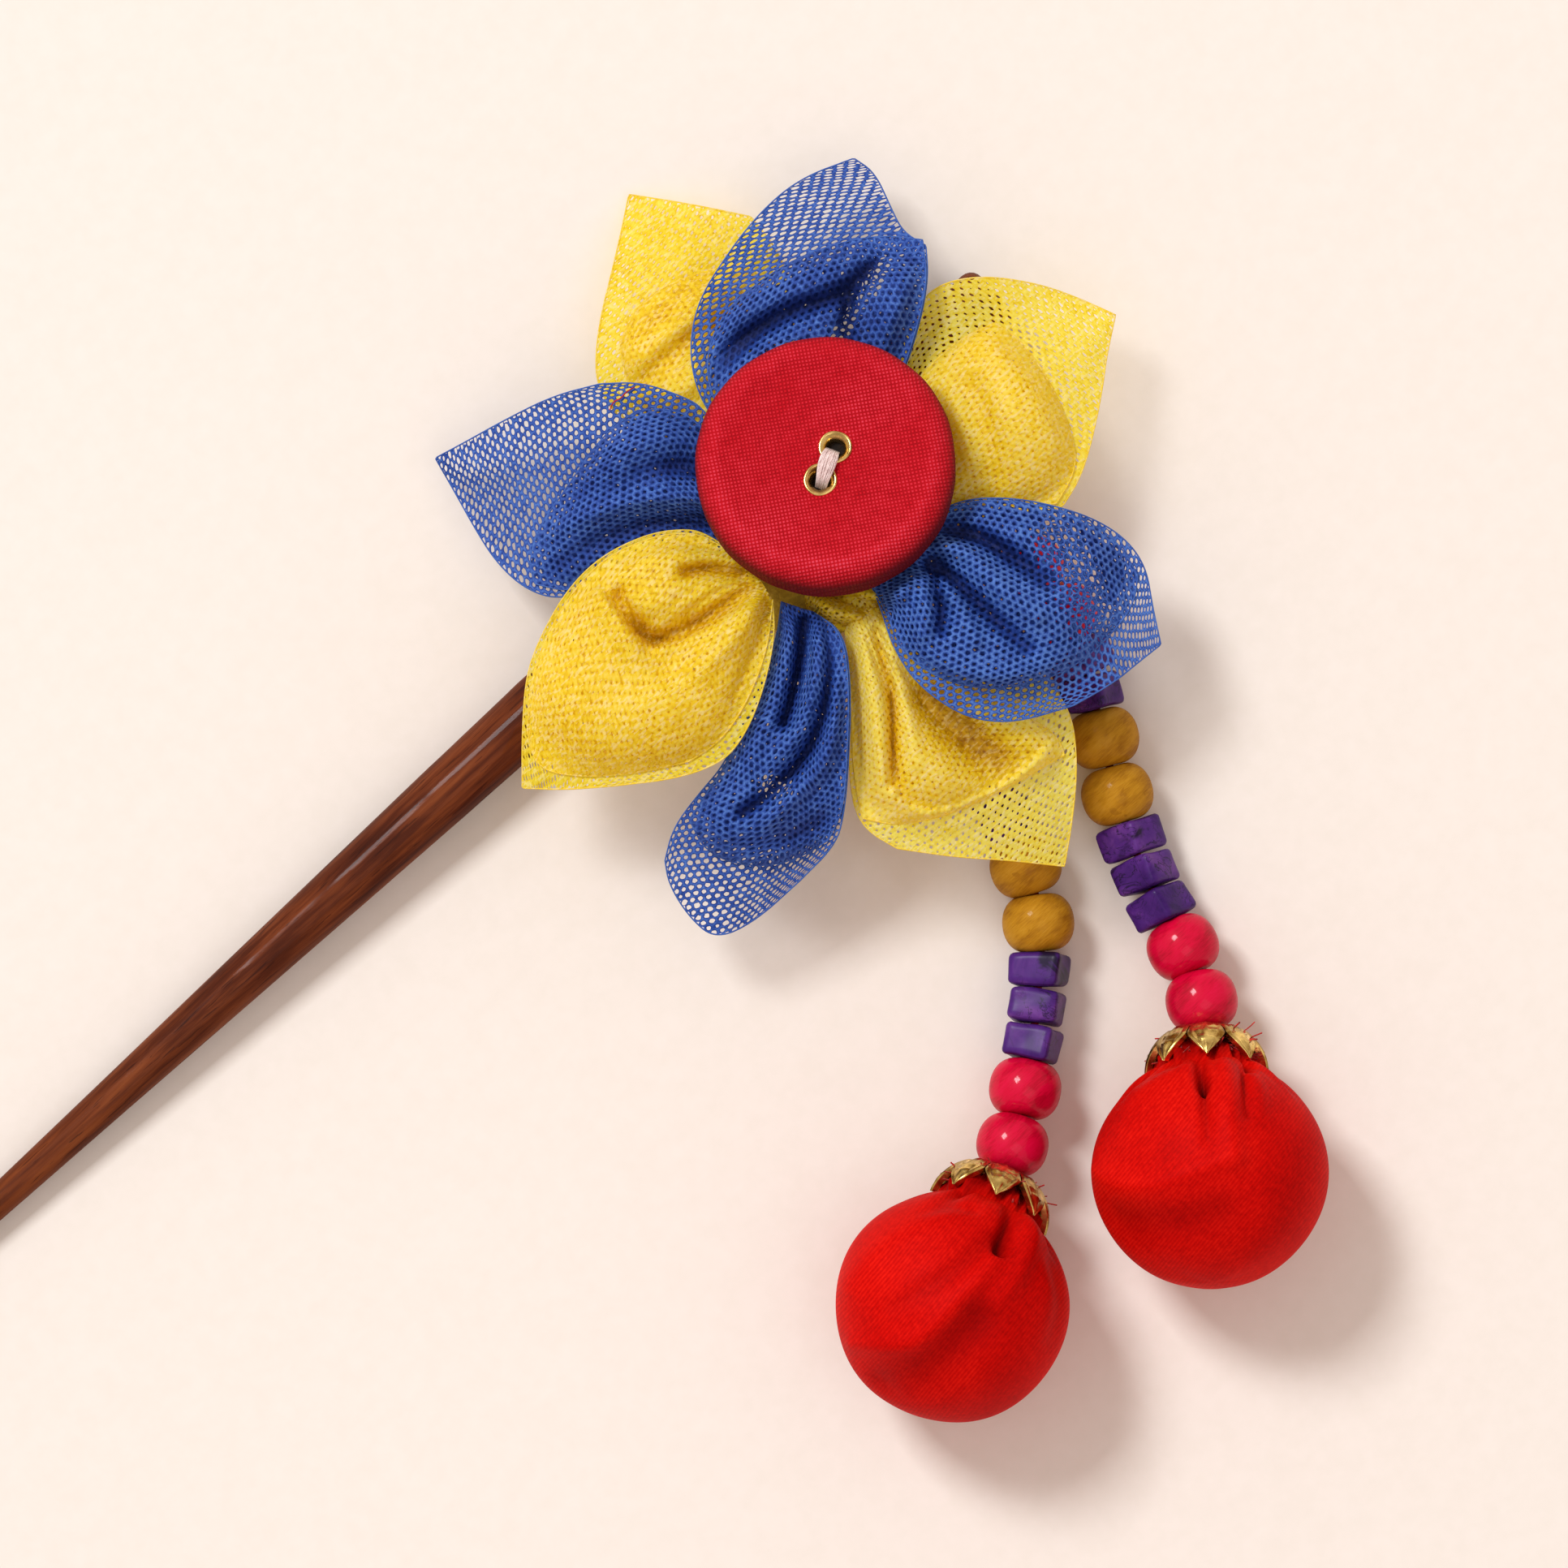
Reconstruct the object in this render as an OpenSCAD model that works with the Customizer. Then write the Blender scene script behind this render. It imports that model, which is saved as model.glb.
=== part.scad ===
// Hair stick with a net flower, a covered button and two strands of beads that end in cloth balls.
// It lies on a flat surface. The origin is on the stick's axis, below the middle of the button,
// +X runs to the head of the stick and +Z is up. All sizes are millimetres.

/* [Stick] */
// Length of the stick from tip to head
stick_length = 178; // [140:1:230]
// Diameter of the stick along its thick end
stick_diameter = 6.8; // [5:0.1:9]
// Diameter of the rounded tip
stick_tip_diameter = 1.6; // [1:0.1:3]
// How far the head stands past the origin
stick_head_past = 24.5; // [18:0.5:40]
// Radius of the rounding round the head
stick_head_rounding = 1.4; // [0.5:0.1:2.2]
// Height of the stick's axis above the surface, at the origin
stick_lift = 5.2; // [4.8:0.1:7]

/* [Flower] */
// Distance from the middle of the flower to the mean petal tip
petal_reach = 39; // [34:0.5:46]
// Nominal width of a petal
petal_width = 24; // [20:0.5:26]
// Wall of the folded net
petal_wall = 1; // [1:0.1:1.4]
// Height of the hollow inside a petal
petal_hollow = 2.4; // [1.6:0.1:3.2]
// Least space between a petal's two layers
petal_least_hollow = 0.4; // [0.3:0.05:0.8]
// Distance from the middle of the flower to the roots of the petals
root_radius = 6.5; // [6:0.1:8]
// Width of a gathered petal root
root_width = 3.4; // [2.6:0.1:3.8]
// Place of the flower's middle along the stick
flower_along = -6.3; // [-12:0.1:0]
// Place of the flower's middle across the stick
flower_across = -6.5; // [-9:0.1:-4]
// Lean of the flower towards one side
flower_lean = 9; // [0:0.5:12]
// Bearing of the side that the flower leans to
lean_bearing = 65; // [40:1:90]
// Small space that pieces keep from each other
gap = 0.12; // [0.1:0.01:0.2]

/* [Base] */
// Diameter of the pad under the petals
pad_diameter = 19; // [16:0.5:24]
// Thickness of the pad
pad_thickness = 2.2; // [1.8:0.1:3]
// Depth of the sockets in the pad's rim that hold the strands
socket_depth = 2.5; // [1.5:0.1:4]
// Diameter of the post that carries the button
post_diameter = 8; // [5:0.5:10]
// Length of the sleeve round the stick
sleeve_length = 16; // [10:0.5:22]
// Wall of the sleeve
sleeve_wall = 1.1; // [0.8:0.1:1.2]

/* [Button] */
// Diameter of the covered button
button_diameter = 26; // [22:0.5:30]
// Thickness of the button at its rim
button_thickness = 6.6; // [5:0.1:9]
// Rounding of the button's upper rim
button_rounding = 2.4; // [1:0.1:3]
// Depth of the dish in the button's face
button_dish = 0.6; // [0.2:0.1:1]
// Place of the button's middle along the stick, from the flower's middle
button_along = 5.8; // [0:0.1:7]
// Place of the button's middle across the stick, from the flower's middle
button_across = 4.0; // [0:0.1:6]
// Diameter of the eyelets' rims
eyelet_diameter = 3.3; // [2.9:0.1:3.5]
// Diameter of the eyelets' holes
eyelet_hole = 1.8; // [1.6:0.1:2]
// Wall of an eyelet's tube
eyelet_wall = 0.3; // [0.2:0.05:0.4]
// Thickness of an eyelet's rim
eyelet_rim = 0.45; // [0.3:0.05:0.7]
// Distance between the eyelets' middles
eyelet_spacing = 3.65; // [3.6:0.05:5]
// Bearing of the line through both eyelets
eyelet_bearing = 23; // [0:1:90]
// Thickness of the sewing thread's bundle
sewing_diameter = 1.35; // [0.9:0.05:1.4]

/* [Beads] */
// Diameter of a round bead
bead_diameter = 7.3; // [6:0.1:8]
// Length of a round bead along its bore
bead_length = 5.6; // [5:0.1:7]
// Side of a square stone chip
chip_side = 5.1; // [4:0.1:6]
// Thickness of a stone chip along its bore
chip_thickness = 3.3; // [2.5:0.1:4.5]
// Radius of a chip's rounded corners
chip_corner = 0.9; // [0.4:0.1:1.5]
// Bore of the beads, chips and caps
bead_bore = 1.4; // [1.2:0.1:1.8]
// Diameter of the stringing thread
thread_diameter = 0.8; // [0.5:0.1:1]

/* [Caps] */
// Diameter of a bead cap over the tips of its lobes
cap_diameter = 12; // [10:0.5:14]
// Height of a bead cap
cap_height = 4.6; // [3.6:0.1:5.6]
// Wall of a bead cap
cap_wall = 0.7; // [0.5:0.1:1]
// Number of pointed lobes round a cap
cap_lobes = 8; // [6:1:12]
// Radius at which the cuts between the lobes begin
cap_cut_from = 3.1; // [2.6:0.1:4]

/* [Balls] */
// Diameter of a cloth ball
ball_diameter = 24; // [20:0.5:28]
// Length of a ball from its neck to its far side
ball_length = 23.4; // [20:0.2:26]
// Diameter of the gathered neck
neck_diameter = 6; // [5:0.2:7]
// Number of pleats round a neck
pleats = 12; // [8:1:16]
// Depth of a pleat
pleat_depth = 0.9; // [0.3:0.1:1.4]

/* [Hidden] */
$fn = 48;
surface = -stick_lift;
stick_radius = stick_diameter / 2;
tip_distance = stick_length - stick_head_past;
stick_slope = asin((stick_lift - stick_tip_diameter / 2) / tip_distance);

// Columns: share of the stick's length from its tip, share of its full diameter
STICK_PROFILE = [
    [0.04, 0.30],
    [0.14, 0.40],
    [0.23, 0.46],
    [0.33, 0.58],
    [0.42, 0.70],
    [0.50, 0.80],
    [0.58, 0.90],
    [0.65, 0.97],
    [0.72, 1.00]
];

// Height of the stick's highest line above the surface, which the petals over it keep clear of
over_stick = stick_lift + stick_radius + petal_wall;

// Columns: name, colour, bearing, share of reach, order of stacking, stacking of the left and the right
// edge at the button, height of the tip above the surface as a share of the stick's highest line, sag of
// the sides as a share of the petal's width, end of the front layer as a share of the petal's length
PETALS = [
    ["petal_1_yellow", "gold",       75.2, 1.03, 0, 0, 0, 0.094, 0.03, 0.86],
    ["petal_2_blue",   "royalblue",  41.5, 1.01, 1, 1, 1, 0.469, 0.03, 0.74],
    ["petal_3_yellow", "gold",       -5.2, 0.98, 0, 0, 0, 1.000, 0.05, 0.76],
    ["petal_4_blue",   "royalblue", -58.5, 0.94, 1, 1, 1, 1.250, 0.04, 0.84],
    ["petal_5_yellow", "gold",      -94.3, 1.06, 0, 0, 0, 1.167, 0.03, 0.90],
    ["petal_6_blue",   "royalblue",-146.2, 1.05, 1, 0, 0, 0.885, 0.03, 0.88],
    ["petal_7_yellow", "gold",      177.8, 0.97, 2, 1, 1, 1.104, 0.03, 0.90],
    ["petal_8_blue",   "royalblue", 124.6, 1.00, 1, 0, 1, 0.125, 0.03, 0.70]
];
// Space over which a petal that lies on its neighbour comes down beside it
stack_fall = 0.1875 * petal_width;
// Share of its hollow that a petal keeps where a neighbour lies on it
pressed = 0.3;

// Outline of each petal, its left side and then its right side.
// Columns: greatest width from the middle line as a share of the petal's width, where that is along
// the petal, fullness towards the root, fullness towards the tip
SIDES = [
    [[0.48, 0.57, 2.9, 1.15], [0.50, 0.50, 2.0, 1.4]],
    [[0.58, 0.34, 1.4, 2.4], [0.38, 0.70, 2.2, 1.4]],
    [[0.55, 0.58, 1.6, 1.9], [0.50, 0.56, 2.0, 1.2]],
    [[0.43, 0.61, 3.0, 2.8], [0.51, 0.48, 2.4, 1.9]],
    [[0.48, 0.44, 2.0, 2.0], [0.56, 0.56, 1.15, 1.2]],
    [[0.38, 0.60, 3.0, 1.7], [0.32, 0.66, 1.6, 2.2]],
    [[0.45, 0.47, 1.7, 1.5], [0.52, 0.36, 3.0, 2.3]],
    [[0.47, 0.56, 1.2, 1.4], [0.50, 0.43, 2.6, 1.5]]
];

// Ribs and valleys of the front layers. Columns: number of the petal, share of its length and share of
// its half width where the fold begins, the same where it ends, half width of the fold as a share of
// the petal's width, and its height as a share of the hollow, which is negative in a valley
FOLDS = [
    [1, 0.10, 0.20, 0.70, 0.35, 0.10, -0.60],
    [1, 0.10, -0.20, 0.60, -0.30, 0.09, 0.35],
    [2, 0.15, -0.10, 0.62, -0.35, 0.09, -0.70],
    [2, 0.30, 0.55, 0.66, 0.10, 0.10, 0.40],
    [3, 0.20, 0.30, 0.60, 0.55, 0.09, -0.50],
    [3, 0.30, -0.20, 0.60, -0.25, 0.12, 0.40],
    [4, 0.06, 0.10, 0.70, 0.35, 0.08, -0.75],
    [4, 0.05, -0.25, 0.45, -0.20, 0.08, -0.60],
    [4, 0.10, -0.05, 0.75, 0.05, 0.08, 0.45],
    [5, 0.05, -0.30, 0.70, -0.60, 0.07, -0.50],
    [5, 0.05, 0.00, 0.72, -0.10, 0.10, -0.85],
    [5, 0.05, -0.10, 0.65, -0.42, 0.07, 0.40],
    [6, 0.05, -0.15, 0.55, 0.30, 0.07, -0.80],
    [6, 0.05, 0.35, 0.45, 0.50, 0.07, -0.40],
    [6, 0.05, 0.10, 0.40, 0.15, 0.07, 0.40],
    [7, 0.08, -0.10, 0.45, 0.10, 0.09, -0.85],
    [7, 0.08, 0.35, 0.60, 0.30, 0.09, 0.35],
    [7, 0.08, -0.60, 0.35, -0.70, 0.09, 0.40],
    [8, 0.08, 0.05, 0.60, 0.15, 0.08, -0.70],
    [8, 0.08, 0.45, 0.55, 0.50, 0.09, 0.40]
];

// Shares of a petal's length at which its sections lie
PETAL_STATIONS = [0, 0.06, 0.13, 0.22, 0.32, 0.42, 0.52, 0.62, 0.71, 0.79, 0.87, 0.94, 1];
// Sections of the hollow, and points across a section
HOLLOW_SECTIONS = 8;
ACROSS = 11;

// Order of the beads on both strands, from the flower to the cap
BEAD_KINDS = ["pink", "pink", "chip", "chip", "mustard", "mustard", "chip", "chip", "chip", "pink", "pink"];
// How far each bead is turned about the thread from the others of its strand
BEAD_TURNS = [0, 0, 6, -8, 0, 0, 3, -3, 4, 0, 0];
BEAD_COUNT = len(BEAD_KINDS);

// Routes of the two strands over the surface after the pad's rim, chosen by hand, in pad diameters
ROUTE_A = [
    [-0.43, -1.26], [-0.48, -1.74], [-0.56, -2.18], [-0.75, -2.59], [-1.01, -2.87], [-1.32, -3.14],
    [-1.61, -3.36], [-1.89, -3.52], [-2.53, -3.83]
];
ROUTE_B = [
    [0.35, -0.81], [0.45, -1.14], [0.39, -1.58], [0.22, -1.96], [-0.01, -2.36], [-0.17, -2.72],
    [-0.27, -3.02], [-0.33, -3.31], [-0.46, -3.58], [-0.97, -4.16]
];
// Columns: letter of the strand, bearing at which it leaves the pad, bare length before its first bead,
// turn of its beads about the thread, route
STRANDS = [
    ["a", -97, 9.6, 12, ROUTE_A],
    ["b", -35, 12.2, 36, ROUTE_B]
];
// Spaces between two chips and between other beads, which let the strand bend
chip_play = 2.5 * gap;
bead_play = 1.25 * gap;
// Lengths of strand over which it comes down from the pad and climbs to its ball's middle
strand_fall = 1.25 * ball_diameter;
strand_climb = 1.6 * ball_diameter;

// Plain helpers
function mix(a, b, t) = a + (b - a) * t;
function clamp(t) = min(1, max(0, t));
function smooth(a, b, t) = let (u = clamp((t - a) / (b - a))) u * u * (3 - 2 * u);
function unit(v) = v / norm(v);
function turn_z(p, a) = [p.x * cos(a) - p.y * sin(a), p.x * sin(a) + p.y * cos(a), p.z];
function turn_y(p, a) = [p.x * cos(a) + p.z * sin(a), p.y, p.z * cos(a) - p.x * sin(a)];

// Distance of a point from the line between two others
function line_distance(p, a, b) =
    let (t = clamp((p - a) * (b - a) / ((b - a) * (b - a)))) norm(p - mix(a, b, t));

// Points a shape's +Z along a direction and moves its origin to a place
module place_on(at, direction, turn = 0) {
    translate(at)
        rotate([0, acos(unit(direction).z), atan2(direction.y, direction.x)])
            rotate([0, 0, turn])
                children();
}

// Height of the flower's root plane above the origin: the pad clears the stick where the plane is lowest
lean_fall = (norm([flower_along, flower_across]) + pad_thickness) * sin(flower_lean);
flower_height = stick_radius + pad_thickness + lean_fall;
flower_middle = [flower_along, flower_across, flower_height];

// The flower's own frame has the petal roots on z = 0, and leans as a whole
function flower_point(p) =
    turn_z(turn_y(turn_z(p, -lean_bearing), flower_lean), lean_bearing) + flower_middle;

module on_flower() {
    translate(flower_middle)
        rotate([0, 0, lean_bearing])
            rotate([0, flower_lean, 0])
                rotate([0, 0, -lean_bearing])
                    children();
}

// The stick's own frame has its axis along X
module on_stick() {
    rotate([0, -stick_slope, 0])
        children();
}

// Radii and distances from the head of the stick's outline, from its tip to its head
function stick_outline() =
    let (
        tip_r = stick_tip_diameter / 2,
        tip = [for (a = [0 : 18 : 90]) [tip_r * sin(a), stick_length - tip_r * (1 - cos(a))]],
        body = [for (row = STICK_PROFILE) [row[1] * stick_radius, stick_length * (1 - row[0])]],
        head = [for (a = [0 : 18 : 90])
            [stick_radius - stick_head_rounding * (1 - cos(a)), stick_head_rounding * (1 - sin(a))]]
    )
    concat(tip, body, head, [[0, 0]]);

// The solid of the stick, grown by a clearance where it is the bore of its sleeve
module stick_solid(grow = 0) {
    on_stick()
        translate([stick_head_past, 0, 0])
            rotate([0, -90, 0])
                rotate_extrude($fn = 64)
                    polygon([for (p = stick_outline()) [p.x > 0 ? p.x + grow : 0, p.y]]);
}

module stick() {
    color("saddlebrown")
        stick_solid();
}

// Two flattened petals, one over the other, lie between the pad and the button
flat_petal = 2 * petal_wall + petal_least_hollow;
seat_height = 2 * flat_petal + 3 * gap;

// The pad under the petals, the post that carries the button and the sleeve that holds the stick
module flower_base() {
    color("tan")
        difference() {
            union() {
                on_flower() {
                    translate([0, 0, -pad_thickness])
                        cylinder(d = pad_diameter, h = pad_thickness);
                    cylinder(d = post_diameter, h = seat_height - gap);
                }
                on_stick()
                    translate([flower_along + sleeve_length / 2, 0, 0])
                        rotate([0, -90, 0])
                            cylinder(r = stick_radius + gap + sleeve_wall, h = sleeve_length);
            }
            stick_solid(gap);
            for (s = STRANDS)
                on_flower()
                    rotate([0, 0, s[1]])
                        translate([pad_diameter / 2 - socket_depth, 0, -pad_thickness / 2])
                            rotate([0, 90, 0])
                                cylinder(d = thread_diameter + 2 * gap, h = socket_depth + 1);
        }
}

// Half width of a petal's root
root_half = root_width / 2;

// How far a petal's edge is from its middle line, at a share t of its length
function side_width(row, t) =
    let (widest = row[0] * petal_width, peak = row[1])
    t < peak
        ? root_half + (widest - root_half) * (1 - pow(1 - t / peak, row[2]))
        : max(petal_wall / 2, widest * (1 - pow((t - peak) / (1 - peak), row[3])));

// A point of petal i in plan: s runs from 1 at the left edge to -1 at the right edge
function petal_plan(i, t, s) =
    let (reach = petal_reach * PETALS[i][3])
    [mix(root_radius, reach, t), s * side_width(SIDES[i][s < 0 ? 1 : 0], t)];

// The same point in the flower's frame
function plan_in_flower(i, t, s) = let (p = petal_plan(i, t, s)) turn_z([p.x, p.y, 0], PETALS[i][2]);

// 0 where the button presses on a petal, and 1 well outside the button
function free_of_button(q) =
    smooth(1.02, 1.5, norm([q.x - button_along, q.y - button_across]) / (button_diameter / 2));

// Where a point of the flower's frame is in petal j: share of its length, share of its half width,
// and how far outside the petal's outline it lies
function place_in(j, q) =
    let (
        p = turn_z(q, -PETALS[j][2]),
        far = petal_reach * PETALS[j][3],
        t = (p.x - root_radius) / (far - root_radius),
        edge = side_width(SIDES[j][p.y < 0 ? 1 : 0], clamp(t))
    )
    [clamp(t), min(1, max(-1, p.y / edge)), max(abs(p.y) - edge, root_radius - p.x, p.x - far)];

// Numbers of the two neighbours of petal i that lie under it, or on it
function neighbours(i, side) =
    [for (j = [(i + 7) % 8, (i + 1) % 8]) if ((PETALS[j][4] - PETALS[i][4]) * side > 0) j];

// Share of the hollow that is left where neighbours lie on petal i
function pressing(i, q) =
    min([1, for (j = neighbours(i, 1)) mix(pressed, 1, smooth(0, stack_fall, place_in(j, q)[2] - petal_wall / 2))]);

// How far a petal's tip hangs below the plane of the flower
function tip_drop(i) =
    let (far = petal_reach * PETALS[i][3], b = PETALS[i][2])
    (flower_point([far * cos(b), far * sin(b), 0]).z - surface - PETALS[i][7] * over_stick) / cos(flower_lean);

// Height of a petal's underside in the flower's frame where no neighbour lifts it
function free_under(i, t, s) =
    let (
        p = PETALS[i],
        rim = pad_diameter / 2,
        hang = max(0, (norm(petal_plan(i, t, s)) - rim) / (petal_reach * p[3] - rim)),
        level = mix(p[6], p[5], smooth(-0.5, 0.5, s))
    )
    gap + level * (flat_petal + gap) * smooth(0, 0.10, t) - tip_drop(i) * hang * hang
        - p[8] * petal_width * s * s * smooth(0.05, 0.5, hang);

// How far the stick lifts a petal's underside over a point q from the height it would have there
function lift_of_stick(q, own) =
    let (
        w = flower_point(q),
        needed = (w.x * tan(stick_slope) + stick_radius + 2 * gap - w.z) / cos(flower_lean),
        beside = max(abs(w.y) - stick_radius, w.x - stick_head_past)
    )
    max(0, needed - own) * (1 - smooth(0, stack_fall, beside - petal_wall));

// Height of a petal's underside: it rests on the stick and on the neighbours below it, and comes down
// beside them
function petal_under(i, t, s) =
    let (
        own = free_under(i, t, s),
        below = neighbours(i, -1),
        q = plan_in_flower(i, t, s),
        lifts = [for (j = below)
            let (at = place_in(j, q))
            max(0, petal_crest(j, at[0], at[1], q) + gap - own)
                * (1 - smooth(0, stack_fall, at[2] - petal_wall))]
    )
    own + max(concat([lift_of_stick(q, own)], lifts));

// Height of a petal's front layer over a neighbour's point q, without the fall towards its sides
function petal_crest(j, t, s, q) =
    petal_under(j, t, s) + petal_wall + front_share(j, t) *
        (petal_wall + petal_least_hollow + 1.4 * petal_hollow * pressing(j, q) * free_of_button(q));

// The front layer ends in a roll at its crest: 1 on the front layer, and 0 past it
function front_share(i, t) = 1 - smooth(PETALS[i][9] - 0.14, PETALS[i][9], t);

// Fullness of the hollow along and across a petal
function fullness(i, t, s) =
    let (q = plan_in_flower(i, t, s))
    free_of_button(q) * pressing(i, q) * (0.55 + 0.45 * smooth(0.1, 0.55, t));
function lens(s) = 1 - pow(abs(s), 4);

// Sum of the ribs and valleys at a point, as a share of the hollow
function relief(i, t, s) =
    let (
        wide = petal_width * 0.5,
        p = [t * petal_reach, s * wide],
        q = plan_in_flower(i, t, s),
        heights = [for (f = FOLDS) if (f[0] == i + 1)
            let (
                a = [f[1] * petal_reach, f[2] * wide],
                b = [f[3] * petal_reach, f[4] * wide],
                d = line_distance(p, a, b) / (f[5] * petal_width)
            )
            f[6] * exp(-d * d)]
    )
    heights * [for (h = heights) 1] * pow(1 - s * s, 2) * free_of_button(q) * pressing(i, q);

// Thickness of a petal from the underside of its back layer to the top of its front layer
function petal_thickness(i, t, s) =
    petal_wall + front_share(i, t) * (
        (petal_wall + petal_least_hollow) * lens(s)
        + petal_hollow * max(0, fullness(i, t, s) * lens(s) + relief(i, t, s)));

// Share of the half width at which the hollow ends
function hollow_edge(i, t, side) =
    let (room = petal_wall + petal_least_hollow + petal_hollow * fullness(i, t, side * 0.85))
    pow(1 - petal_wall / room, 0.25);

// A section of a petal: its top points from left to right, then its underside points back.
// The folds at its two sides stand half a wall above the underside.
function outer_section(i, t) =
    [for (j = [0 : 2 * ACROSS - 1])
        let (
            side = j == 0 || j == ACROSS,
            s = j <= ACROSS ? 1 - 2 * j / ACROSS : 2 * j / ACROSS - 3,
            p = petal_plan(i, t, s),
            rise = side ? petal_wall / 2 : j < ACROSS ? petal_thickness(i, t, s) : 0
        )
        [p.x, p.y, petal_under(i, t, s) + rise]];

// A section of the hollow, in the same order
function hollow_section(i, t) =
    [for (j = [0 : 2 * ACROSS - 1])
        let (
            top = j > 0 && j < ACROSS,
            q = j <= ACROSS ? 1 - 2 * j / ACROSS : 2 * j / ACROSS - 3,
            s = q * hollow_edge(i, t, q < 0 ? -1 : 1),
            p = petal_plan(i, t, s)
        )
        [p.x, p.y, petal_under(i, t, s) + (top ? petal_thickness(i, t, s) - petal_wall : petal_wall)]];

// Triangles of a band between rings of n points that begin at a and b
function band(a, b, n) =
    [for (j = [0 : n - 1]) let (k = (j + 1) % n) each [[a + j, b + j, b + k], [a + j, b + k, a + k]]];

// Triangles that close a section of a petal
function section_cap(a, n) =
    [for (j = [0 : n - 1])
        let (below = (2 * n - j) % (2 * n), next = 2 * n - j - 1)
        each concat(
            j < n - 1 ? [[a + j, a + j + 1, a + next]] : [],
            j > 0 ? [[a + j, a + next, a + below]] : [])];

function flipped(faces) = [for (f = faces) [f[0], f[2], f[1]]];

// One petal: two layers of folded net that meet at the sides, open at the gathered root
module petal(i) {
    n = 2 * ACROSS;
    outer = len(PETAL_STATIONS);
    hollow_from = outer * n;
    hollow_end = PETALS[i][9] - 0.10;
    points = concat(
        [for (t = PETAL_STATIONS) each outer_section(i, t)],
        [for (k = [0 : HOLLOW_SECTIONS - 1]) each hollow_section(i, hollow_end * k / (HOLLOW_SECTIONS - 1))]
    );
    faces = concat(
        [for (k = [0 : outer - 2]) each band(k * n, (k + 1) * n, n)],
        flipped(section_cap((outer - 1) * n, ACROSS)),
        [for (k = [0 : HOLLOW_SECTIONS - 2])
            each flipped(band(hollow_from + k * n, hollow_from + (k + 1) * n, n))],
        section_cap(hollow_from + (HOLLOW_SECTIONS - 1) * n, ACROSS),
        flipped(band(0, hollow_from, n))
    );
    color(PETALS[i][1])
        on_flower()
            rotate([0, 0, PETALS[i][2]])
                polyhedron(points, faces);
}

// Moves a shape to the button's underside, in the middle of the button
module on_button() {
    on_flower()
        translate([button_along, button_across, seat_height])
            children();
}

// The face of the button at its eyelets, above the button's underside
dish_radius = button_diameter / 2 - button_rounding;
dish_sphere = (dish_radius * dish_radius + button_dish * button_dish) / (2 * button_dish);
eyelet_offset = eyelet_spacing / 2;
eyelet_seat = button_thickness - button_dish + dish_sphere
    - sqrt(pow(dish_sphere, 2) - pow(eyelet_offset, 2));
tube_diameter = eyelet_hole + 2 * eyelet_wall;
back_recess = button_thickness / 4;
tube_length = button_thickness / 2;

// Both eyelets' places on the button
module at_eyelet(side) {
    on_button()
        rotate([0, 0, eyelet_bearing])
            translate([side * eyelet_offset, 0, 0])
                children();
}

module button() {
    lower_rounding = button_rounding * 0.6;
    color("crimson")
        difference() {
            on_button()
                rotate_extrude($fn = 96)
                    union() {
                        square([button_diameter / 2 - button_rounding, button_thickness]);
                        translate([0, lower_rounding])
                            square([button_diameter / 2, button_thickness - button_rounding - lower_rounding]);
                        translate([button_diameter / 2 - button_rounding, button_thickness - button_rounding])
                            circle(r = button_rounding);
                        square([button_diameter / 2 - lower_rounding, button_thickness / 2]);
                        translate([button_diameter / 2 - lower_rounding, lower_rounding])
                            circle(r = lower_rounding);
                    }
            on_button()
                translate([0, 0, button_thickness - button_dish + dish_sphere])
                    sphere(r = dish_sphere, $fn = 96);
            for (side = [-1, 1])
                at_eyelet(side)
                    translate([0, 0, -1])
                        cylinder(d = tube_diameter + 2 * gap, h = button_thickness + 2);
            on_button()
                translate([0, 0, -1])
                    cylinder(d = eyelet_spacing + 1.8 * tube_diameter, h = 1 + back_recess);
        }
}

module eyelet(side) {
    $fn = 96;
    color("goldenrod")
        at_eyelet(side)
            translate([0, 0, eyelet_seat + gap])
                difference() {
                    union() {
                        cylinder(d = eyelet_diameter, h = eyelet_rim / 2);
                        translate([0, 0, eyelet_rim / 2])
                            cylinder(d1 = eyelet_diameter, d2 = tube_diameter + 0.2, h = eyelet_rim / 2);
                        translate([0, 0, -tube_length])
                            cylinder(d = tube_diameter, h = tube_length + eyelet_rim / 2);
                    }
                    translate([0, 0, -tube_length - 1])
                        cylinder(d = eyelet_hole, h = tube_length + eyelet_rim + 2);
                }
}

// One leg of the sewing thread with half of its bridge over the face and half of its knot at the back
module button_thread() {
    bend = sewing_diameter * 0.7;
    top = eyelet_seat + eyelet_rim + 0.2;
    bottom = back_recess / 2 - gap;
    straight = eyelet_offset - bend;
    color("linen")
        for (side = [0, 180])
            on_button()
                rotate([0, 0, eyelet_bearing + side])
                    union() {
                        translate([eyelet_offset, 0, bottom])
                            cylinder(d = sewing_diameter, h = top - bottom);
                        translate([straight, 0, top])
                            rotate([90, 0, 0])
                                rotate_extrude(angle = 90)
                                    translate([bend, 0])
                                        circle(d = sewing_diameter);
                        translate([0, 0, top + bend])
                            rotate([0, 90, 0])
                                cylinder(d = sewing_diameter, h = straight);
                        translate([0, 0, bottom])
                            rotate([0, 90, 0])
                                cylinder(d = sewing_diameter, h = eyelet_offset);
                        translate([eyelet_offset, 0, bottom])
                            sphere(d = sewing_diameter);
                    }
}

// A line of points with its corners rounded off
function rounded(line, times) =
    times == 0 ? line : rounded(concat(
        [line[0]],
        [for (k = [0 : len(line) - 2]) each [mix(line[k], line[k + 1], 0.25), mix(line[k], line[k + 1], 0.75)]],
        [line[len(line) - 1]]), times - 1);

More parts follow.
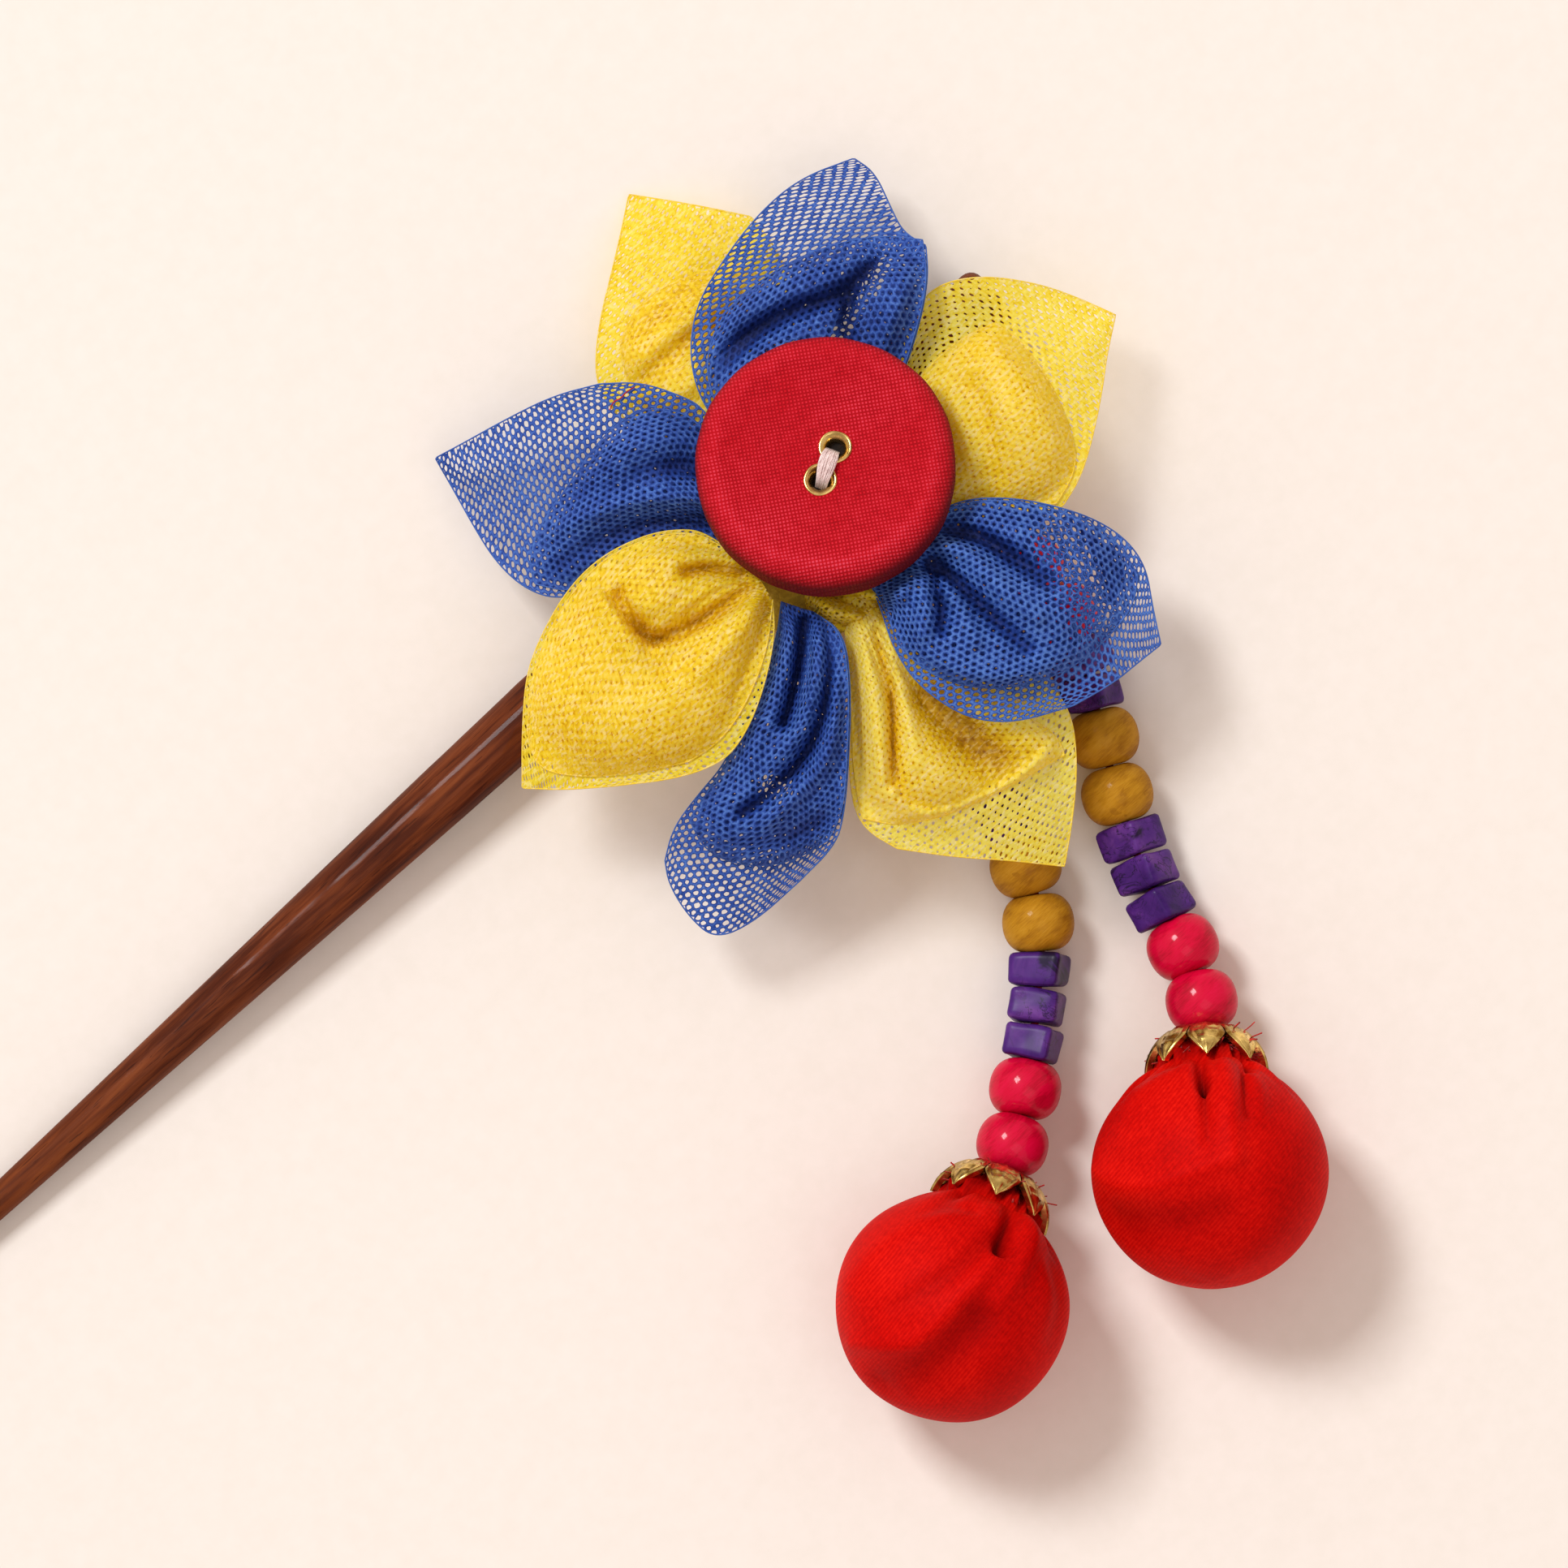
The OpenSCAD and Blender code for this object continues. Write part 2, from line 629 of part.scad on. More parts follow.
// The point at a distance along a line, which goes on straight past its end
function along(line, d, k = 0) =
    let (step = norm(line[k + 1] - line[k]))
    d <= step || k == len(line) - 2
        ? line[k] + (line[k + 1] - line[k]) * d / step
        : along(line, d - step, k + 1);

function kind_length(kind) = kind == "chip" ? chip_thickness : bead_length;

// Space between a bead and the next one
function space_after(k) =
    gap + (BEAD_KINDS[k] == "chip" && BEAD_KINDS[k + 1] == "chip" ? chip_play : bead_play);

// Length of the strand from its socket's mouth to the near face of bead k, or to the cap after the
// last bead
function bead_start(s, k) =
    k == 0 ? s[2] : bead_start(s, k - 1) + kind_length(BEAD_KINDS[k - 1]) + space_after(k - 1);
function bead_middle(s, k) = bead_start(s, k) + kind_length(BEAD_KINDS[k]) / 2;
function strand_length(s) = bead_start(s, BEAD_COUNT);

// A point of the pad's mid plane at a strand's bearing
function socket_point(s, r) = flower_point([r * cos(s[1]), r * sin(s[1]), -pad_thickness / 2]);

// Height of a strand d after its socket's mouth: it comes down, lies low and climbs towards its
// ball's middle
function strand_height(s, d) =
    let (
        low = surface + bead_diameter / 2 + gap,
        left = strand_length(s) + ball_offset - d
    )
    low + (socket_point(s, pad_diameter / 2).z - low) * pow(clamp(1 - d / strand_fall), 2)
        + (surface + ball_diameter / 2 - low) * pow(clamp(1 - left / strand_climb), 2);

// Points of a strand at equal steps of its length, from its socket's mouth to its ball's middle
PATH_STEPS = 70;
function strand_path(s) =
    let (
        mouth = socket_point(s, pad_diameter / 2),
        plan = rounded(concat([[mouth.x, mouth.y]], s[4] * pad_diameter), 3),
        step = (strand_length(s) + ball_offset) / PATH_STEPS
    )
    [for (
        k = 0, run = 0;
        k <= PATH_STEPS;
        run = run + sqrt(step * step - pow(strand_height(s, (k + 1) * step) - strand_height(s, k * step), 2)),
        k = k + 1
    )
        let (p = along(plan, run)) [p.x, p.y, strand_height(s, k * step)]];

function heading(path, d) = unit(along(path, d + bead_length / 2) - along(path, max(0, d - bead_length / 2)));

// A cap and its ball share one straight axis: the ball lies on the surface
function cap_place(s) = along(strand_path(s), strand_length(s));
function cap_heading(s) =
    let (
        path = strand_path(s),
        crown_at = along(path, strand_length(s)),
        end = path[PATH_STEPS],
        rise = (surface + ball_diameter / 2 - crown_at.z) / ball_offset,
        level = unit([end.x - crown_at.x, end.y - crown_at.y]) * sqrt(1 - rise * rise)
    )
    [level.x, level.y, rise];

module round_bead() {
    radius = bead_length / 2;
    difference() {
        rotate_extrude()
            intersection() {
                union() {
                    translate([bead_diameter / 2 - radius, 0])
                        circle(r = radius);
                    translate([0, -radius])
                        square([bead_diameter / 2 - radius, bead_length]);
                }
                translate([0, -radius])
                    square([bead_diameter, bead_length]);
            }
        cylinder(d = bead_bore, h = bead_length + 1, center = true);
    }
}

module chip() {
    inner = chip_side - 2 * chip_corner;
    difference() {
        intersection() {
            linear_extrude(chip_thickness, center = true)
                union() {
                    square([chip_side, inner], center = true);
                    square([inner, chip_side], center = true);
                    for (x = [-1, 1], y = [-1, 1])
                        translate([x * inner / 2, y * inner / 2])
                            circle(r = chip_corner);
                }
            sphere(r = norm([chip_side / 2, chip_side / 2, chip_thickness / 2]) * 0.86);
        }
        cylinder(d = bead_bore, h = chip_thickness + 1, center = true);
    }
}

module bead(s, k) {
    path = strand_path(s);
    middle = bead_middle(s, k);
    kind = BEAD_KINDS[k];
    color(kind == "chip" ? "rebeccapurple" : kind == "pink" ? "deeppink" : "darkgoldenrod")
        place_on(along(path, middle), heading(path, middle), s[3] + BEAD_TURNS[k])
            if (kind == "chip")
                chip();
            else
                round_bead();
}

// Outline of a cap's shell, a quarter of an ellipse from its crown to its rim
crown = bead_bore / 2 + cap_wall;
function shell(radius, height) =
    [for (a = [0 : 15 : 90]) [mix(crown, radius, sin(a)), height * (1 - cos(a))]];

module bead_cap(s) {
    half_pitch = 180 / cap_lobes;
    cut_reach = cap_diameter;
    color("darkkhaki")
        place_on(cap_place(s), cap_heading(s)) {
            difference() {
                rotate_extrude()
                    difference() {
                        polygon(concat([[0, 0]], shell(cap_diameter / 2, cap_height), [[0, cap_height]]));
                        translate([0, cap_wall])
                            polygon(concat(
                                [[0, 0]],
                                shell(cap_diameter / 2 - cap_wall, cap_height),
                                [[0, cap_height]]));
                    }
                translate([0, 0, -1])
                    cylinder(d = bead_bore, h = cap_height + 2);
                for (k = [0 : cap_lobes - 1])
                    rotate([0, 0, 360 * k / cap_lobes])
                        translate([0, 0, -1])
                            linear_extrude(cap_height + 2)
                                polygon([
                                    [cap_cut_from, 0],
                                    [cut_reach * cos(half_pitch), cut_reach * sin(half_pitch) * 0.92],
                                    [cut_reach * cos(half_pitch), -cut_reach * sin(half_pitch) * 0.92]
                                ]);
            }
        }
}

// Half of a ball's length at a radius from its axis
function ball_half(radius) = ball_length / 2 * sqrt(1 - pow(2 * radius / ball_diameter, 2));

// Distance from the cap's crown to the ball's middle: the ball just clears the cap's inside
ball_offset = 2 * gap + max([for (p = shell(cap_diameter / 2 - cap_wall, cap_height))
    min(cap_height, p.y + cap_wall) + ball_half(p.x)]);
// Distance from the ball's middle to the top of its neck, which stands inside the cap's curve
neck_top = ball_offset - cap_wall - gap - cap_height * (1 - sqrt(1 - pow(
    (neck_diameter / 2 - crown) / (cap_diameter / 2 - cap_wall - crown), 2)));

BALL_SIDES = 24;
BALL_RINGS = 11;
// Depth of the hollow in the neck that takes the thread's end
knot_depth = 0.11 * ball_length;

// Rings of a ball as radius and height towards its neck, with the share of pleats on each
function ball_rings() =
    let (
        last = acos(neck_diameter / ball_diameter),
        body = [for (k = [1 : BALL_RINGS])
            let (a = mix(-90, last, k / BALL_RINGS))
            [ball_diameter / 2 * cos(a), ball_length / 2 * sin(a), smooth(5, 60, a)]],
        radius = neck_diameter / 2
    )
    concat(body, [
        [radius * 0.92, neck_top, 0.5],
        [thread_diameter, neck_top, 0],
        [thread_diameter, neck_top - knot_depth, 0]
    ]);

module ball(s) {
    rings = ball_rings();
    count = len(rings);
    points = concat(
        [[0, 0, -ball_length / 2]],
        [for (r = rings, k = [0 : BALL_SIDES - 1])
            let (
                a = 360 * k / BALL_SIDES,
                pleat = pleat_depth / 2 * r[2] * cos(a * pleats) * min(1, r[0] / neck_diameter * 2),
                radius = r[0] - pleat_depth / 2 * r[2] * min(1, r[0] / neck_diameter * 2) + pleat
            )
            [radius * cos(a), radius * sin(a), r[1]]],
        [[0, 0, rings[count - 1][1]]]
    );
    far = [for (k = [0 : BALL_SIDES - 1]) [0, 1 + k, 1 + (k + 1) % BALL_SIDES]];
    last = 1 + (count - 1) * BALL_SIDES;
    near = [for (k = [0 : BALL_SIDES - 1]) [last + k, last + BALL_SIDES, last + (k + 1) % BALL_SIDES]];
    bands = [for (r = [0 : count - 2]) each band(1 + r * BALL_SIDES, 1 + (r + 1) * BALL_SIDES, BALL_SIDES)];
    color("red")
        place_on(cap_place(s) + cap_heading(s) * ball_offset, -cap_heading(s))
            polyhedron(points, concat(far, bands, near));
}

// The thread runs straight through each bead, and from bead to bead
THREAD_SIDES = 8;

module strand_thread(s) {
    path = strand_path(s);
    stops = concat(
        [socket_point(s, pad_diameter / 2 - socket_depth + gap), path[0], along(path, s[2] / 2)],
        [for (k = [0 : BEAD_COUNT - 1])
            let (
                middle = bead_middle(s, k),
                half = heading(path, middle) * kind_length(BEAD_KINDS[k]) / 2
            )
            each [along(path, middle) - half, along(path, middle) + half]],
        [for (d = [0, cap_wall + gap + knot_depth - 1]) cap_place(s) + cap_heading(s) * d]
    );
    count = len(stops);
    radius = thread_diameter / 2;
    points = [for (k = [0 : count - 1])
        let (
            forward = unit(stops[min(count - 1, k + 1)] - stops[max(0, k - 1)]),
            side = unit(cross(forward, [0, 0, 1])),
            up = cross(side, forward)
        )
        for (j = [0 : THREAD_SIDES - 1])
            let (a = 360 * j / THREAD_SIDES)
            stops[k] + radius * (side * cos(a) + up * sin(a))];
    ends = [
        [for (j = [0 : THREAD_SIDES - 1]) THREAD_SIDES - 1 - j],
        [for (j = [0 : THREAD_SIDES - 1]) (count - 1) * THREAD_SIDES + j]
    ];
    bands = [for (k = [0 : count - 2])
        each flipped(band(k * THREAD_SIDES, (k + 1) * THREAD_SIDES, THREAD_SIDES))];
    color("maroon")
        polyhedron(points, concat(ends, bands));
}

stick();
flower_base();
button();
eyelet(-1);  // eyelet_1
eyelet(1);  // eyelet_2
button_thread();
for (i = [0 : len(PETALS) - 1])
    petal(i);
for (s = STRANDS) {
    strand_thread(s);
    bead_cap(s);
    ball(s);
    for (k = [0 : BEAD_COUNT - 1])
        bead(s, k);
}
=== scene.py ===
"""Looks of the hair stick: a net flower with a covered button on a stick, and two strands of beads."""
import math

import bpy
import numpy as np
from mathutils import Matrix, Vector
from mathutils.bvhtree import BVHTree


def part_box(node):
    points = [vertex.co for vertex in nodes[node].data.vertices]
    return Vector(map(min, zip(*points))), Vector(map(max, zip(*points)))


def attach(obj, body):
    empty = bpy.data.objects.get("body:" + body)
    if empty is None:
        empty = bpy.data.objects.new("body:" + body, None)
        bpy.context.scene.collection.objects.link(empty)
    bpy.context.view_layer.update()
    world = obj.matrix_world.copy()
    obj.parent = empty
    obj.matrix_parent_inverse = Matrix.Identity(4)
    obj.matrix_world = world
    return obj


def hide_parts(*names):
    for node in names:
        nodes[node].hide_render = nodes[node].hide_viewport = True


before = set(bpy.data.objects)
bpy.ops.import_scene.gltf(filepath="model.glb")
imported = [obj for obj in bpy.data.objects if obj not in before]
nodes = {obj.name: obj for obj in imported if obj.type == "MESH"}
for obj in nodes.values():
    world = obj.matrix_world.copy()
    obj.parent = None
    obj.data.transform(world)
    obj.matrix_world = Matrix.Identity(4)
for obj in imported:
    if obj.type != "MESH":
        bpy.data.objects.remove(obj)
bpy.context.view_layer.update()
MM = 0.001
PI = math.pi

# The photograph's frame: millimetres of the object in a pixel, how far the picture is turned, its middle, and
# the model's origin from there, in pixels along the model's axes. The height of the surface that all lies on.
SCALE = 0.082
ROLL = math.radians(42.4)
COS_ROLL, SIN_ROLL = math.cos(ROLL), math.sin(ROLL)
CENTRE = 966.0
ORIGIN = (301, 272.6)
SURFACE = -5.2  # mm


def plan(points):
    """Places in the picture, in pixels, as millimetres in the model's plan."""
    p = np.asarray(points, float)
    dx, dy = p[..., 0] - CENTRE, CENTRE - p[..., 1]
    u = COS_ROLL * dx + SIN_ROLL * dy - ORIGIN[0]
    v = -SIN_ROLL * dx + COS_ROLL * dy - ORIGIN[1]
    return np.stack([u, v], -1) * SCALE


def pixels_of(points):
    """Where points of the model, in millimetres, lie in the picture."""
    u, v = points[..., 0] / SCALE + ORIGIN[0], points[..., 1] / SCALE + ORIGIN[1]
    return np.stack([CENTRE + COS_ROLL * u - SIN_ROLL * v, CENTRE - SIN_ROLL * u - COS_ROLL * v], -1)


def smooth(a, b, x):
    u = np.clip((np.asarray(x, float) - a) / (b - a), 0, 1)
    return u * u * (3 - 2 * u)


# The materials by name
PAINT = {}


class Paint:
    """A material's node tree, with short calls for the nodes that the materials here use."""

    def __init__(self, name):
        self.material = bpy.data.materials.new(name)
        self.material.use_nodes = True
        self.name = name
        self.tree = self.material.node_tree
        self.tree.nodes.clear()
        self.output = self.tree.nodes.new("ShaderNodeOutputMaterial")
        self.place = self.made("TexCoord", "Object")

    def made(self, kind, out, inputs=(), **settings):
        """The output of a new node. Its inputs are plain values or the outputs of other nodes."""
        node = self.tree.nodes.new("ShaderNode" + kind)
        for key, value in settings.items():
            setattr(node, key, value)
        for key, value in inputs.items() if isinstance(inputs, dict) else enumerate(inputs):
            socket = node.inputs[key]
            if isinstance(value, bpy.types.NodeSocket):
                self.tree.links.new(value, socket)
            elif value is not None:
                socket.default_value = (*value, 1) if socket.type == "RGBA" else value
        return node.outputs[out]

    def math(self, operation, *values, clamp=False):
        return self.made("Math", 0, values, operation=operation, use_clamp=clamp)

    def times(self, a, b):
        return self.math("MULTIPLY", a, b)

    def plus(self, a, b):
        return self.math("ADD", a, b)

    def scaled(self, a, factor, more):
        return self.math("MULTIPLY_ADD", a, factor, more)

    def size(self, a):
        return self.math("ABSOLUTE", a)

    def vector(self, operation, *values, out="Vector"):
        return self.made("VectorMath", out, values, operation=operation)

    def from_mesh(self, name):
        return self.made("Attribute", "Fac", attribute_name=name)

    def turned(self, source, rotation=(0, 0, 0), scale=(1, 1, 1)):
        return self.made("Mapping", "Vector", {"Vector": source, "Rotation": rotation, "Scale": scale})

    def noise(self, source, scale, detail, roughness, distortion=0.0):
        return self.made("TexNoise", "Fac", {"Vector": source, "Scale": scale, "Detail": detail,
                                             "Roughness": roughness, "Distortion": distortion})

    def ramp(self, value, *stops):
        colour = self.made("ValToRGB", "Color", {"Fac": value})
        elements = colour.node.color_ramp.elements
        while len(elements) < len(stops):
            elements.new(0.5)
        for element, (at, tint) in zip(elements, stops):
            element.position = at
            element.color = (*tint, 1)
        return colour

    def mix(self, share, a, b):
        return self.made("Mix", 2, {0: share, 6: a, 7: b}, data_type="RGBA", blend_type="MIX")

    def bump(self, height, strength, distance, normal=None):
        return self.made("Bump", "Normal", {"Strength": strength, "Distance": distance, "Height": height,
                                            "Normal": normal})

    def principled(self, **values):
        named = {key.replace("_", " "): value for key, value in values.items()}
        return self.made("BsdfPrincipled", "BSDF", named)

    def blend(self, share, a, b):
        return self.made("MixShader", "Shader", (share, a, b))

    def done(self, shader):
        """Ends the tree with its shader and keeps the material under its name."""
        self.tree.links.new(shader, self.output.inputs["Surface"])
        PAINT[self.name] = self.material


def srgb(r, g, b):
    """A colour given in the 0 to 255 numbers of a picture, as linear light."""
    shares = (r / 255, g / 255, b / 255)
    return tuple(c / 12.92 if c <= 0.04045 else ((c + 0.055) / 1.055) ** 2.4 for c in shares)


WHITE, BLACK = (1, 1, 1), (0, 0, 0)


def net_material(name, stops, through, silk):
    """Thread of the net. The mesh's tone gives each place's lightness, with painted light and shade in it;
    fine fibres, a silky gloss and, on the silk, painted glints come on top. A share of the lamps' light passes
    between the fibres."""
    p = Paint(name)
    tone = p.from_mesh("tone")
    shade = p.noise(p.place, 1100, 4, 0.7)
    patches = p.noise(p.place, 110, 2, 0.5)
    tone = p.plus(tone, p.scaled(shade, 0.55, -0.275))
    tone = p.plus(tone, p.scaled(patches, 0.3, -0.15))
    colour = p.ramp(tone, *stops)
    fibres = p.noise(p.turned(p.place, (0, 0, 0.9), (1, 5, 1)), 2600, 2, 0.6)
    normal = p.bump(fibres, 0.8, 0.00006)
    if silk:
        glints = p.noise(p.turned(p.place, scale=(1.0, 3.0, 1.6)), 1200, 1, 0.4)
        # Painted glints: where the stretched noise is high, the colour turns a bright pale yellow, as fibres
        # catching the lamps.
        bright = p.times(p.math("GREATER_THAN", glints, 0.57), p.math("MULTIPLY", tone, 0.8, clamp=True))
        colour = p.mix(bright, colour, srgb(255, 246, 170))
        normal = p.bump(glints, 0.6, 0.00012, normal)
    rough, gloss, glow, open_share = (0.40, 0.22, 0.38, 0.6) if silk else (0.6, 0.2, 0.2, 0.2)
    surface = p.principled(Base_Color=colour, Roughness=rough, Specular_IOR_Level=gloss, Sheen_Weight=0.05,
                           Sheen_Roughness=0.4, Sheen_Tint=stops[-1][1], Normal=normal)
    lamp_side = p.principled(Base_Color=through, Alpha=1 - open_share / (1 - glow))
    thread = p.blend(p.made("LightPath", "Is Shadow Ray"), surface, lamp_side)
    p.done(p.blend(glow, thread, p.made("BsdfTranslucent", "BSDF", {"Color": through})))


def cloth_material(name, deep, mid, light, pitch, turn):
    """Plain weave: light dots where threads come up, on a deeper ground. The mesh says where it is painted in
    shade, and where its rim is lighter with wear and a painted highlight.
    """
    p = Paint(name)
    place = p.turned(p.place, (0, 0, turn))
    wobble = p.noise(place, 260, 2, 0.5)
    parts = p.made("SeparateXYZ", "X", (place,)).node.outputs
    waves = [p.math("SINE", p.scaled(parts[axis], PI / (pitch * MM), p.times(wobble, swing)))
             for axis, swing in (("X", 2.6), ("Y", 2.1))]
    dots = p.size(p.times(*waves))
    slub = p.noise(place, 900, 4, 0.7)
    worn = p.noise(p.place, 90, 3, 0.6)
    tone = p.plus(p.times(dots, p.scaled(worn, 0.7, 0.12)), p.times(slub, 0.42))
    # The rim's crest lighter: wear and a painted highlight.
    tone = p.scaled(p.from_mesh("rubbed"), 0.11, tone)
    colour = p.ramp(tone, (0.16, deep), (0.46, mid), (0.88, light))
    colour = p.mix(p.from_mesh("shade"), colour, tuple(0.22 * c for c in deep))
    normal = p.bump(slub, 0.3, 0.00008, p.bump(dots, 0.8, 0.00012))
    p.done(p.principled(Base_Color=colour, Roughness=0.75, Specular_IOR_Level=0.12, Sheen_Weight=0.12,
                        Sheen_Roughness=0.5, Sheen_Tint=light, Normal=normal))


def wood_material():
    """Lacquered red-brown wood with streaks along the stick."""
    p = Paint("lacquered_wood")
    along = p.turned(p.place, scale=(0.05, 1, 1))
    warped = p.noise(p.turned(p.place, scale=(0.3, 1, 1)), 60, 2, 0.5)
    warped = p.vector("MULTIPLY", warped, (0.0, 0.0012, 0.0012))
    streak = p.noise(p.vector("ADD", along, warped), 900, 4, 0.65)
    figure = p.noise(p.turned(p.place, (0, 0, 0.5), (0.35, 1, 1)), 130, 3, 0.55)
    pores = p.noise(p.turned(p.place, scale=(0.04, 1, 1)), 3600, 2, 0.5)
    colour = p.ramp(p.plus(p.times(streak, 0.6), p.times(figure, 0.4)), (0.30, srgb(40, 14, 8)),
                    (0.45, srgb(80, 34, 16)), (0.56, srgb(112, 54, 26)), (0.72, srgb(140, 76, 40)))
    colour = p.mix(p.times(p.math("LESS_THAN", pores, 0.36), 0.55), colour, srgb(40, 16, 10))
    p.done(p.principled(Base_Color=colour, Roughness=0.55, Specular_IOR_Level=0.04, Coat_Weight=0.08,
                        Coat_Roughness=0.06, Normal=p.bump(pores, 0.12, 0.00004)))


def bead_material(name, deep, mid, light, rough, coat, spots):
    """Turned wood that was dyed, with rings and small marks."""
    p = Paint(name)
    rings = p.noise(p.turned(p.place, (0.3, 0.2, 0.4), (1, 3, 1)), 260, 3, 0.55)
    fine = p.noise(p.turned(p.place, (0.3, 0.2, 0.4), (1, 9, 1)), 900, 3, 0.6)
    colour = p.ramp(p.plus(p.times(rings, 0.6), p.times(fine, 0.4)), (0.34, deep), (0.52, mid), (0.70, light))
    marks = p.noise(p.place, 420, 2, 0.5, 0.6)
    colour = p.mix(p.times(p.math("GREATER_THAN", marks, spots), 0.5), colour, deep)
    p.done(p.principled(Base_Color=colour, Roughness=rough, Specular_IOR_Level=0.05, Coat_Weight=coat,
                        Coat_Roughness=0.10, Normal=p.bump(fine, 0.2, 0.00005)))


def stone_material():
    """Dyed stone with black veins."""
    p = Paint("chip_purple")
    body = p.noise(p.place, 220, 4, 0.6, 0.4)
    colour = p.ramp(body, (0.32, srgb(48, 16, 84)), (0.52, srgb(76, 34, 116)), (0.74, srgb(112, 62, 142)))
    lines = p.noise(p.place, 260, 5, 0.62, 1.6)
    vein = p.ramp(p.size(p.math("SUBTRACT", lines, 0.5)), (0.0, WHITE), (0.022, BLACK))
    blot = p.ramp(p.noise(p.place, 150, 4, 0.66, 0.8), (0.35, WHITE), (0.42, BLACK))
    spread = p.ramp(p.noise(p.place, 110, 2, 0.5), (0.46, BLACK), (0.58, WHITE))
    dark = p.math("MAXIMUM", p.times(vein, spread), blot)
    colour = p.mix(p.times(dark, 0.9), colour, srgb(22, 12, 34))
    p.done(p.principled(Base_Color=colour, Roughness=0.4, Specular_IOR_Level=0.13, Coat_Weight=0.04,
                        Coat_Roughness=0.2, Normal=p.bump(body, 0.3, 0.0001)))


def brass_material(name, dark, bright, rough, relief):
    """Brass, darker where it is tarnished."""
    p = Paint(name)
    wear = p.noise(p.place, 700, 4, 0.6)
    tarnish = p.noise(p.place, 240, 3, 0.55, 0.5)
    colour = p.ramp(p.plus(p.times(wear, 0.5), p.times(tarnish, 0.5)), (0.38, dark), (0.60, bright))
    p.done(p.principled(Base_Color=colour, Metallic=1.0, Roughness=rough,
                        Normal=p.bump(wear, relief, 0.0001)))


def satin_material():
    """Red satin with fine diagonal lines, which fade in some places and on the sides that they run round."""
    p = Paint("red_satin")
    y = p.made("SeparateXYZ", "Y", (p.turned(p.place, (0, 0, math.radians(-8))),))
    wobble = p.noise(p.place, 160, 2, 0.5)
    line_pitch = 0.34 * MM
    lines = p.math("SINE", p.scaled(y, 2 * PI / line_pitch, p.times(wobble, 7.0)))
    fibres = p.noise(p.place, 1900, 3, 0.6)
    broad = p.noise(p.place, 75, 2, 0.5)
    across = p.vector("DOT_PRODUCT", p.made("NewGeometry", "Normal"), (0.139, 0.990, 0.0), out="Value")
    facing = p.math("POWER", p.size(across), 5.0)
    drawn = p.times(lines, p.times(broad, p.scaled(facing, -0.13, 0.13)))
    tone = p.plus(drawn, p.plus(p.times(fibres, 0.4), p.times(broad, 0.6)))
    colour = p.ramp(tone, (0.30, srgb(160, 3, 2)), (0.5, srgb(198, 8, 4)), (0.7, srgb(226, 24, 12)))
    colour = p.mix(p.from_mesh("shade"), colour, srgb(84, 1, 2))
    normal = p.bump(p.plus(drawn, p.times(fibres, 0.3)), 0.5, 0.00006)
    p.done(p.principled(Base_Color=colour, Roughness=0.58, Specular_IOR_Level=0.03, Normal=normal))


def thread_material(name, deep, light):
    """Twisted thread."""
    p = Paint(name)
    fibres = p.noise(p.turned(p.place, (0, 0, 0.8), (1, 4, 1)), 1800, 3, 0.6)
    colour = p.ramp(fibres, (0.3, deep), (0.7, light))
    colour = p.mix(p.from_mesh("shade"), colour, tuple(0.16 * c for c in deep))
    p.done(p.principled(Base_Color=colour, Roughness=0.75, Specular_IOR_Level=0.2, Sheen_Weight=0.15,
                        Normal=p.bump(fibres, 0.7, 0.00008)))


def felt_material():
    """Felt of the pad under the petals."""
    p = Paint("base_felt")
    fibres = p.noise(p.place, 900, 5, 0.75, 1.2)
    p.done(p.principled(Base_Color=p.ramp(fibres, (0.3, srgb(150, 120, 30)), (0.7, srgb(214, 184, 70))),
                        Roughness=0.95, Specular_IOR_Level=0.1, Sheen_Weight=0.5,
                        Normal=p.bump(fibres, 0.9, 0.0002)))


wood_material()
felt_material()
cloth_material("red_cotton", srgb(150, 2, 16), srgb(196, 9, 26), srgb(226, 70, 92), 0.37, math.radians(32))
brass_material("eyelet_brass", srgb(150, 112, 52), srgb(246, 214, 136), 0.2, 0.05)
thread_material("pale_thread", srgb(206, 172, 168), srgb(252, 236, 232))
TONES = (0.05, 0.35, 0.62, 0.95)
YELLOWS = (srgb(108, 56, 0), srgb(202, 158, 6), srgb(245, 218, 36), srgb(255, 244, 110))
BLUES = (srgb(10, 16, 50), srgb(28, 46, 112), srgb(45, 79, 166), srgb(90, 132, 212))
net_material("net_yellow", tuple(zip(TONES, YELLOWS)), srgb(250, 214, 14), True)
net_material("net_blue", tuple(zip(TONES, BLUES)), srgb(34, 70, 160), False)
thread_material("strand_thread", srgb(110, 10, 14), srgb(190, 30, 30))
brass_material("antique_brass", srgb(134, 94, 30), srgb(255, 222, 134), 0.25, 0.45)
satin_material()
bead_material("bead_pink", srgb(168, 2, 34), srgb(206, 5, 52), srgb(214, 10, 62), 0.45, 0.28, 0.72)
bead_material("bead_mustard", srgb(146, 94, 16), srgb(180, 126, 27), srgb(194, 143, 43), 0.55, 0.08, 0.68)
stone_material()


def new_piece(name, vertices, faces, slot, node=None, paint=None, **values):
    """A mesh piece from points in millimetres, which rides on the only body and may stand for a node."""
    mesh = bpy.data.meshes.new(name)
    mesh.from_pydata((np.asarray(vertices, float) * MM).tolist(), [], faces.tolist())
    for key, value in values.items():
        mesh.attributes.new(key, "FLOAT", "POINT").data.foreach_set("value", np.asarray(value, np.float32))
    mesh.validate(verbose=False)
    mesh.polygons.foreach_set("use_smooth", [True] * len(mesh.polygons))
    piece = bpy.data.objects.new(name, mesh)
    bpy.context.scene.collection.objects.link(piece)
    mesh.materials.append(PAINT[paint or slot])
    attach(piece, "root")
    if node:
        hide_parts(node)
    return piece


